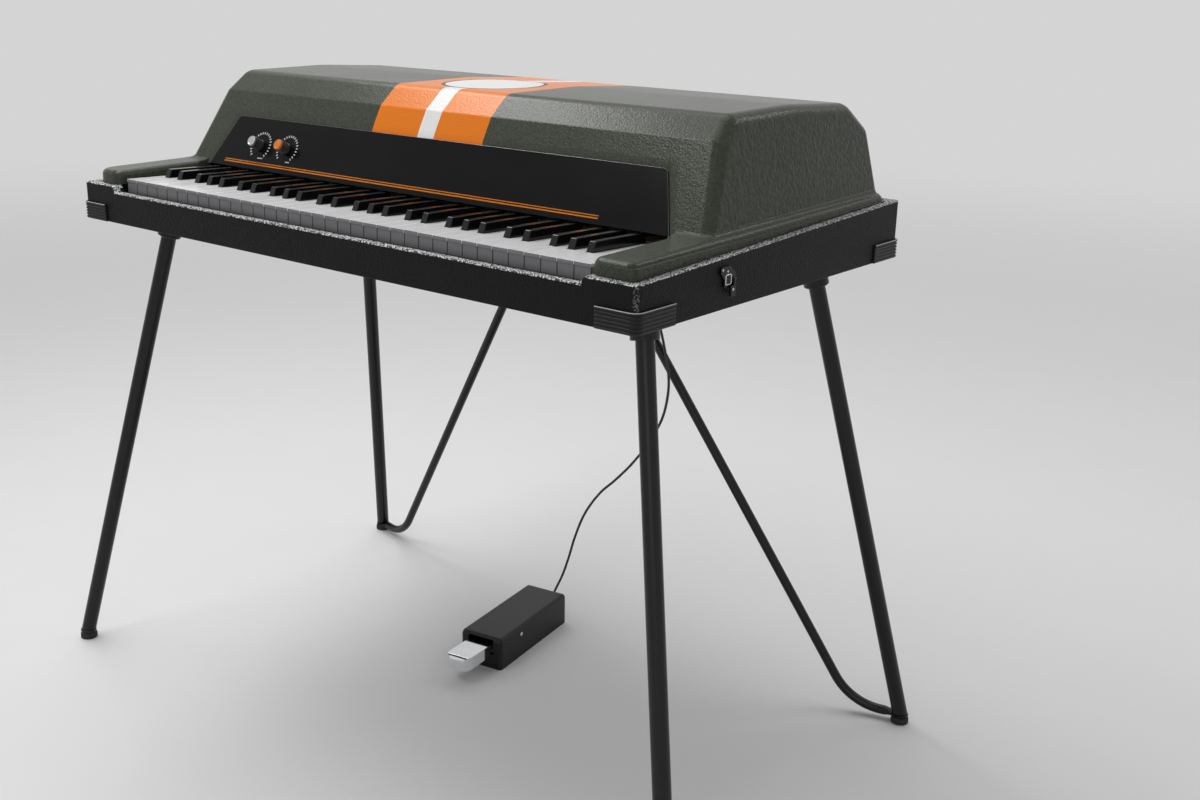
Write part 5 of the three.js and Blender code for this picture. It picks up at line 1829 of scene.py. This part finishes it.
@dataclass
class CaseHardware:
    """Ribbed guards on the lower corners and a latch on each side."""

    case: CaseTub
    gap: float = 0.3
    guard_top: float = -37.0
    front_wing: float = 57.0
    side_wing: float = 70.0
    proud: float = 3.6
    base: float = 2.0
    rib_count: int = 5
    rib_half: float = 1.35
    rib_first: float = 0.45
    rib_trim: float = 0.6
    guard_round: float = 0.5
    lip_cover: float = 1.0
    lip_half: float = 1.6
    lip_trim: float = 0.2
    crest_half: float = 0.6
    crest_out: float = 0.96
    plate: Pairs = (
        (129.5, -12), (129.5, -19), (137, -27), (137, -36), (159, -38), (159, -22), (148, -12),
    )
    plate_radii: tuple[float, ...] = (2.5, 2.0, 2.0, 2.0, 3.0, 3.0, 2.5)
    plate_thick: float = 2.5
    plate_round: float = 0.4
    screw_spin: float = 1.2
    screws: Pairs = ((132.8, -15.4), (142.7, -18.0))
    bail: Pairs = ((139.0, -33), (150.0, -33), (150.0, -21.8), (139.0, -21.8))
    bail_bend: float = 2.0
    bail_half: float = 0.75
    lever: Pairs = ((146, -47), (156, -47), (156, -27), (152, -27), (152, -34.5), (146, -34.5))
    lever_radii: tuple[float, ...] = (3, 3, 1, 1, 1, 1)
    lever_thick: float = 3.0
    lever_round: float = 0.6
    rod: Pairs = ((151.6, -27.0), (156.6, -27.0))
    rod_half: float = 1.4
    rivet: Pair = (150.0, -38.7)

    def wrap(self, hand: Hand, end: End, level: float, out: float, trim: float = 0.0) -> list[Vector]:
        """A path round one corner of the case at a distance from its walls.

        Args:
            hand: which end of the piano.
            end: front or rear.
            level: its height.
            out: the distance.
            trim: how far short of the guard's wings it stops.

        Returns:
            Points from the front or rear wing to the side wing.
        """
        case = self.case
        depth = case.front if end is End.FRONT else case.rear
        points = [(case.half + self.proud - self.front_wing + trim, -out)]
        for step in range(ROUND_STEPS + 1):
            angle = step / ROUND_STEPS * math.pi / 2
            points.append((case.half - case.corner + (case.corner + out) * math.sin(angle),
                           case.corner - (case.corner + out) * math.cos(angle)))
        points.append((case.half + out, self.side_wing - self.proud - trim))
        return [Vector((hand.value * x, depth + end.value * y, level)) for x, y in points]

    def guard(self, hand: Hand, end: End) -> None:
        """A thin wrap with swept ribs and a lip along its top, whose crest carries a painted highlight in
        pale grey.

        Args:
            hand: which end of the piano.
            end: front or rear.
        """
        low, high = self.case.bottom, self.guard_top
        rings = [[*self.wrap(hand, end, level, self.gap), *reversed(self.wrap(hand, end, level, self.base))]
                 for level in (low, high - self.lip_cover)]
        form = Form().skin(rings).soften(self.guard_round, 2, 60.0)
        pitch = (high - self.lip_half * 2 - low) / self.rib_count
        ribs = self.wrap(hand, end, low + pitch * self.rib_first, self.base, self.rib_trim)
        form.absorb(RIBS.sweep(ribs, self.rib_half, MOULDED_BLACK, self.rib_count, pitch, 12))
        lip = self.wrap(hand, end, high - self.lip_half, self.base, self.lip_trim)
        form.absorb(RIBS.sweep(lip, self.lip_half, MOULDED_BLACK, sides=12))
        # The pale bead along the lip's crest is a painted highlight.
        crest = self.wrap(hand, end, high - self.crest_half, self.base + self.crest_out, self.rib_trim)
        form.absorb(RIBS.sweep(crest, self.crest_half, GUARD_CREST_HIGHLIGHT, sides=8), 1)
        form.dress(f"corner_guard_{end.word}_{hand.word}", "guard_plastic", (MOULDED_BLACK, GUARD_CREST_HIGHLIGHT))

    def latch(self, hand: Hand) -> None:
        """Keeper plate with its screws and bail, and the lever that hangs from it.

        Args:
            hand: which end of the piano.
        """
        turn = facing((hand.value, 0, 0))
        near = self.case.half + self.gap
        out = near + self.plate_thick
        plate = Form().prism(rounded(self.plate, self.plate_radii, 4), *hand.span(near, out), Axis.X)
        plate.soften(self.plate_round, 2, 50.0)
        screws = [(Vector((hand.value * out, *point)), turn) for point in self.screws]
        plate.absorb(COPIES.place(LATCH_SCREW.form(), screws, PLATED, self.screw_spin), 1)
        loop = rounded(self.bail, [self.bail_bend] * 4, 4)
        path = [Vector((hand.value * out, *point)) for point in (*loop, loop[0])]
        plate.absorb(RIBS.sweep(path, self.bail_half, PLATED, sides=10), 1)
        plate.dress(f"latch_plate_{hand.word}", "bright_steel", (SATIN_BLACK, PLATED))
        near = out + self.gap
        out = near + self.lever_thick
        lever = Form().prism(rounded(self.lever, self.lever_radii, 4), *hand.span(near, out), Axis.X)
        lever.soften(self.lever_round, 3, 50.0)
        rod = [Vector((hand.value * (near + self.lever_thick / 2), *point)) for point in self.rod]
        lever.absorb(RIBS.sweep(rod, self.rod_half, SATIN_BLACK))
        rivet = [(Vector((hand.value * out, *self.rivet)), turn)]
        lever.absorb(COPIES.place(LATCH_RIVET.form(), rivet, PLATED), 1)
        node = f"latch_lever_{hand.word}"
        lever.dress(node, "bright_steel", (SATIN_BLACK, PLATED), body=node)

    def build(self) -> None:
        """Four guards and two latches."""
        for hand in Hand:
            for end in End:
                self.guard(hand, end)
            self.latch(hand)


@dataclass
class Stand:
    """Four splayed tube legs in their sockets, two bent rear braces and the feet."""

    floor: float = -760.0
    case_bottom: float = -61.5
    gap: float = 0.3
    tops: dict[End, Pair] = field(
        default_factory=lambda: {End.FRONT: (435.0, 81.0), End.REAR: (432.0, 455.0)})
    feet: dict[End, Pair] = field(
        default_factory=lambda: {End.FRONT: (582.0, -36.0), End.REAR: (558.0, 590.0)})
    leg_radius: float = 11.0
    leg_bore: float = 9.5
    leg_sides: int = 40
    leg_round: float = 0.5
    aim_lift: float = 13.0
    end_lift: float = 15.6
    plate: float = 5.0
    plate_round: float = 0.8
    sunk: float = 1.5
    socket_half: float = 45.0
    socket_bend: float = 17.0
    socket: Pairs = ((1.0, 17.0), (33.0, 17.0), (34.0, 16.2), (34.0, 11.5), (10.0, 11.5))
    socket_screws: Pair = (32.0, 32.0)
    screw_spin: float = 1.4
    pad: Pairs = (
        (0.0, 0.0), (11.8, 0.0), (12.7, 0.5), (13.0, 1.6), (12.7, 8.0), (11.6, 9.7), (10.6, 10.0),
        (0.0, 10.0),
    )
    collar: Pairs = ((0.0, 9.8), (11.4, 9.8), (12.0, 10.6), (12.0, 14.5), (11.2, 15.3), (0.0, 15.3))
    stud: Pairs = ((4.3, 9.0), (4.3, 24.0))
    brace_radius: float = 7.0
    brace_top: Pair = (47.0, 470.6)
    brace_lift: float = 12.8
    brace_run: float = 76.2
    brace_bend: float = 85.0
    brace_sides: int = 28
    bend_steps: int = 16
    eye_radius: float = 12.0
    eye_half: float = 2.5
    eye_flat: float = 24.0
    eye_wide: float = 0.85
    eye_end: float = 0.5
    eye_shares: tuple[float, ...] = (0.0, 0.25, 0.5, 0.75, 1.0)
    eye_start: float = 0.18
    eye_steps: int = 9
    washer: Pairs = ((4.6, -0.2), (9.0, -0.2), (9.0, 0.2), (8.6, 0.3), (4.6, 0.3))
    bracket_half: Pair = (95.0, 36.0)
    bracket_bend: float = 11.0
    bracket_screws: Pair = (81.0, 24.0)
    sleeve: Pairs = ((0.0, 11.0), (41.2, 11.0), (42.0, 10.2), (42.0, 7.3), (16.0, 7.3))
    sleeve_sides: int = 32
    sleeve_aim: float = 50.0

    @property
    def top(self) -> float:
        """Height of the plates' upper faces."""
        return self.case_bottom - self.gap

    def line(self, hand: Hand, end: End) -> tuple[Vector, Vector]:
        """Both ends of a leg's centre line."""
        top, foot = self.tops[end], self.feet[end]
        return (Vector((hand.value * top[0], top[1], self.case_bottom)),
                Vector((hand.value * foot[0], foot[1], self.floor + self.aim_lift)))

    @staticmethod
    def across(way: Vector, radius: float, sides: int) -> list[Vector]:
        """Vectors square to a direction, at even angles round it."""
        side = way.cross(Vector((0, 1, 0))).normalized()
        other = way.cross(side).normalized()
        return [side * (radius * math.cos(angle)) + other * (radius * math.sin(angle))
                for angle in spokes(sides)]

    def boss(self, form: Form, start: Vector, way: Vector, profile: Pairs, sides: int) -> None:
        """A leaning tube end, whose first ring is slid along it into the plate.

        Args:
            form: what it is added to.
            start: where its own line starts.
            way: the line's direction.
            profile: distance along the line and radius for each ring.
            sides: how many sides it has.
        """
        rings = [[start + way * reach + offset for offset in self.across(way, radius, sides)]
                 for reach, radius in profile]
        level = self.top - self.sunk
        rings[0] = [point - way * ((point.z - level) / way.z) for point in rings[0]]
        form.skin(rings)

    def base_plate(self, centre: Sequence[float], half: Pair, bend: float) -> Form:
        """A flat plate with rounded corners under the case."""
        plan = oblong((centre[0] - half[0], centre[1] - half[1]), (centre[0] + half[0], centre[1] + half[1]))
        form = Form().prism(rounded(plan, [bend] * 4), self.top - self.plate, self.top)
        return form.soften(self.plate_round, 3, 60.0)

    def screws(self, form: Form, centre: Sequence[float], reach: Pair) -> None:
        """Four screws in a plate, so far from its middle."""
        places = [(Vector((centre[0] + sx * reach[0], centre[1] + sy * reach[1], self.top - self.plate)),
                   facing((0, 0, -1))) for sx in (-1, 1) for sy in (-1, 1)]
        form.absorb(COPIES.place(SOCKET_SCREW.form(), places, PLATED, self.screw_spin), 1)

    def leg(self, hand: Hand, end: End) -> None:
        """A tube from under the socket plate to just over its foot.

        Args:
            hand: which end of the piano.
            end: front or rear.
        """
        start, stop = self.line(hand, end)
        way = stop - start
        high, low = (start + way * ((z - start.z) / way.z)
                     for z in (self.top - self.gap - self.plate, self.floor + self.end_lift))
        rings = []
        for point, radius in ((high, self.leg_bore), (high, self.leg_radius), (low, self.leg_radius),
                              (low, self.leg_bore), (high, self.leg_bore)):
            rings.append([point + offset - way * (offset.z / way.z)
                          for offset in self.across(way, radius, self.leg_sides)])
        form = Form().skin(rings, capped=False).soften(self.leg_round, 2, 50.0)
        form.dress(f"leg_{end.word}_{hand.word}", "leg_steel", (SATIN_BLACK,))

    def leg_socket(self, hand: Hand, end: End) -> None:
        """A plate with four screws and a leaning boss.

        Args:
            hand: which end of the piano.
            end: front or rear.
        """
        start, stop = self.line(hand, end)
        form = self.base_plate(start.xy, (self.socket_half, self.socket_half), self.socket_bend)
        self.boss(form, start, (stop - start).normalized(), self.socket, self.leg_sides)
        self.screws(form, start.xy, self.socket_screws)
        form.dress(f"leg_socket_{end.word}_{hand.word}", "leg_steel", (SATIN_BLACK, PLATED))

    def foot(self, hand: Hand, end: End) -> None:
        """A rubber pad with its stud, and a black collar at the front, where no brace ends.

        Args:
            hand: which end of the piano.
            end: front or rear.
        """
        x, y = self.feet[end]
        place = Matrix.Translation((hand.value * x, y, self.floor))
        form = Form().turned(self.pad, place, 40)
        if end is End.FRONT:
            form.turned(self.collar, place, 40, 2)
        form.turned(self.stud, place, 24, 1)
        form.dress(f"foot_{end.word}_{hand.word}", "foot_rubber", (FOOT_RUBBER, PLATED, SATIN_BLACK))

    def brace_line(self, hand: Hand) -> tuple[Callable[[float, float, float], Vector], float, float]:
        """A brace's upright plane.

        Args:
            hand: which end of the piano.

        Returns:
            A function from distance, offset and height to a point, the whole distance, and the slope.
        """
        foot = self.feet[End.REAR]
        towards = Vector((self.brace_top[0] - foot[0], self.brace_top[1] - foot[1]))
        distance = towards.length
        towards.normalize()

        def at(u: float, v: float, z: float) -> Vector:
            """A point of the plane."""
            return Vector((hand.value * (foot[0] + towards.x * u - towards.y * v),
                           foot[1] + towards.y * u + towards.x * v, z))

        return at, distance, (distance - self.brace_run) / (self.case_bottom - self.floor - self.brace_lift)

    def stations(self, distance: float, slope: float) -> list[tuple[float, float, float, float, float]]:
        """The brace's sections, from its top down and round the bend to the end of its eye.

        Args:
            distance: from the foot to the brace's top.
            slope: distance for each step down.

        Returns:
            Distance, height, turn, half width and half height of each.
        """
        radius, thin = self.brace_radius, self.eye_half
        flat = self.floor + self.brace_lift
        angle = math.atan2(1, slope)
        bend_end = self.brace_run - self.brace_bend * math.tan(angle / 2)
        top = self.top - self.plate - radius
        found = [(distance - (self.case_bottom - top) * slope, top, angle, radius, radius)]
        for step in range(self.bend_steps + 1):
            turn = angle * (1 - step / self.bend_steps)
            found.append((bend_end + self.brace_bend * math.sin(turn),
                          flat + self.brace_bend * (1 - math.cos(turn)), turn, radius, radius))
        for share in self.eye_shares:
            ease = share * share * (3 - 2 * share)
            wide = radius + (self.eye_radius * self.eye_wide - radius) * ease
            reach = self.eye_flat - (self.eye_flat - self.eye_radius) * share
            found.append((reach, flat, 0.0, wide, radius + (thin - radius) * ease))
        for step in range(1, self.eye_steps + 1):
            turn = math.pi * (self.eye_start + (1 - self.eye_start) * step / self.eye_steps)
            found.append((self.eye_radius * math.cos(turn), flat, 0.0,
                          max(self.eye_end, self.eye_radius * math.sin(turn)), thin))
        return found

    def brace(self, hand: Hand) -> None:
        """A bent tube that is flattened to an eye on the rear foot's stud.

        Args:
            hand: which end of the piano.
        """
        at, distance, slope = self.brace_line(hand)
        rings = []
        for u, z, turn, wide, high in self.stations(distance, slope):
            lifts = [(spin, high * math.sin(spin)) for spin in spokes(self.brace_sides)]
            rings.append([at(u - lift * math.sin(turn), wide * math.cos(spin), z + lift * math.cos(turn))
                          for spin, lift in lifts])
        washer = Matrix.Translation(at(0, 0, self.floor + self.brace_lift + self.eye_half))
        form = Form().skin(rings).turned(self.washer, washer, 32, 1)
        form.dress(f"rear_brace_{hand.word}", "brace_steel", (SATIN_BLACK, PLATED))

    def bracket(self) -> None:
        """The middle plate with two leaning sleeves and four screws."""
        centre = (0.0, self.brace_top[1])
        form = self.base_plate(centre, self.bracket_half, self.bracket_bend)
        for hand in Hand:
            at, distance, slope = self.brace_line(hand)
            start, lower = (at(distance - (self.case_bottom - z) * slope, 0.0, z)
                            for z in (self.top, self.top - self.sleeve_aim))
            self.boss(form, start, (lower - start).normalized(), self.sleeve, self.sleeve_sides)
        self.screws(form, centre, self.bracket_screws)
        form.dress("brace_bracket", "leg_steel", (SATIN_BLACK, PLATED))

    def build(self) -> None:
        """Legs, sockets, feet, braces and the middle bracket."""
        for hand in Hand:
            for end in End:
                self.leg_socket(hand, end)
                self.leg(hand, end)
                self.foot(hand, end)
            self.brace(hand)
        self.bracket()


@dataclass
class Pedal:
    """The sustain pedal's housing and its bright treadle."""

    half: float = 38.0
    length: float = 202.0
    high: float = 53.0
    wall: float = 4.0
    nose: float = 8.0
    corner: float = 6.0
    edge: float = 0.7
    past: float = 3.0
    window_half: float = 23.5
    window_low: float = 24.0
    relief: Pairs = ((3.4, -1.0), (3.4, 1.5), (2.9, 5.0), (2.2, 12.0))
    relief_high: float = 32.0
    screw_spin: float = 1.0
    treadle_half: float = 21.0
    reach: float = 68.0
    thick: float = 3.0
    sheet: float = 2.4
    rise: float = 45.0
    root: float = 60.0
    root_rise: float = 40.0
    root_past: float = 9.0
    nose_bend: float = 7.5
    hollow_low: float = 10.0
    tip: float = 23.5
    skirt: Pairs = ((-8.0, 23.5), (-3.0, 40.5))
    plan_bend: float = 14.0
    plan_steps: int = 12
    plan_rear: float = 90.0
    plan_high: float = 70.0
    barrel: float = 4.5
    barrel_slack: float = 0.5

    def housing(self) -> None:
        """A rounded shell with an open bottom, a front window and side screws."""
        outline = [(0, 0), (0, self.high), (self.length, self.high), (self.length, 0)]
        outer = rounded_ends(outline, (0.0, self.nose, self.nose, 0.0), self.corner, lambda z: self.half)
        inner, ceiling = self.half - self.wall, self.high - self.wall
        hollow = Form().block((-inner, self.wall, -self.past), (inner, self.length - self.wall, ceiling))
        window = Form().block((-self.window_half, -self.past, self.window_low),
                              (self.window_half, self.wall + self.past, ceiling))
        form = Form.taken(cut(outer.held(), Join.TAKE, hollow, window)).soften(self.edge, 2, 60.0)
        places = [(Vector((hand.value * self.half, self.root, self.root_rise - self.thick / 2)),
                   facing((hand.value, 0, 0))) for hand in Hand]
        form.absorb(COPIES.place(PEDAL_SCREW.form(), places, PLATED, self.screw_spin), 1)
        rear = Matrix.Translation((0, self.length, self.relief_high)) @ Matrix.Rotation(-math.pi / 2, 4, "X")
        form.turned(self.relief, rear, 24)
        form.dress("pedal_housing", "pedal_plastic", (MOULDED_BLACK, PLATED), DATUM.pedal)

    def treadle_side(self, wall: float) -> list[Pair]:
        """The treadle's outline from the side, in Y and Z, inside a wall or with none for the outside."""
        bend = self.nose_bend
        nose = arc((bend - self.reach, self.rise - bend), bend - wall, math.pi / 2, math.pi)
        rear = self.root + self.root_past
        if wall:
            return [(rear, self.root_rise - wall), *nose, (wall - self.reach, self.hollow_low),
                    (rear, self.hollow_low)]
        return [(self.root, self.root_rise), *nose, (-self.reach, self.tip), *self.skirt,
                (self.root, self.root_rise - self.thick)]

    def pressing(self, wall: float) -> bpy.types.Object:
        """The treadle's outer form or, inside a wall, its hollow, as a helper."""
        half, bend = self.treadle_half - wall, self.plan_bend - wall
        plan = rounded(oblong((-half, wall - self.reach), (half, self.plan_rear)), (bend, bend, 0, 0),
                       self.plan_steps)
        side = Form().prism(self.treadle_side(wall), -half, half, Axis.X)
        return cut(side.held(), Join.KEEP, Form().prism(plan, 0.0, self.plan_high))

    def treadle(self) -> None:
        """A pressed plate with folded sides and a rounded nose, on its cross barrel."""
        plate = cut(self.pressing(0.0), Join.TAKE, self.pressing(self.sheet))
        form = Form.taken(plate).soften(self.edge, 3, 50.0)
        across = self.half - self.wall - self.barrel_slack
        rod = [Vector((side * across, self.root, self.root_rise - self.thick / 2)) for side in (-1, 1)]
        form.absorb(RIBS.sweep(rod, self.barrel, CHROME, sides=24))
        form.dress("pedal_treadle", "treadle_chrome", (CHROME,), DATUM.pedal, body="pedal_treadle")

    def build(self) -> None:
        """Housing and treadle."""
        self.housing()
        self.treadle()


@dataclass
class HiddenWorks:
    """The parts inside the case, which keep their frame shapes and take their own finishes."""

    finishes: dict[str, Finish] = field(default_factory=lambda: {
        "key_frame": FRAME_WOOD,
        "control_pots": PLATED,
        "harp_frame": HARP_WOOD,
        "tone_bar_set": TONE_STEEL,
        "pickup_rail": MOULDED_BLACK,
        "hammer_rail": HAMMER_CREAM,
        "damper_rail": DAMPER_STEEL,
    })

    def build(self) -> None:
        """Give each carried node its finish."""
        for node, finish in self.finishes.items():
            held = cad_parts[node]
            held.data.materials.clear()
            held.data.materials.append(finish.material())
            log.info("%s: %s", node, finish.name)


def main() -> None:
    """Build the studio, the lead and every sub-assembly in order."""
    logging.basicConfig(level=logging.INFO, format="%(name)s: %(message)s")
    cover = TopCover()
    case = CaseTub()
    for assembly in (Studio(), PedalLead(), case, cover, Fascia(cover), Keyboard(), CaseHardware(case),
                     Stand(), Pedal(), HiddenWorks()):
        assembly.build()


if __name__ == "__main__":
    main()
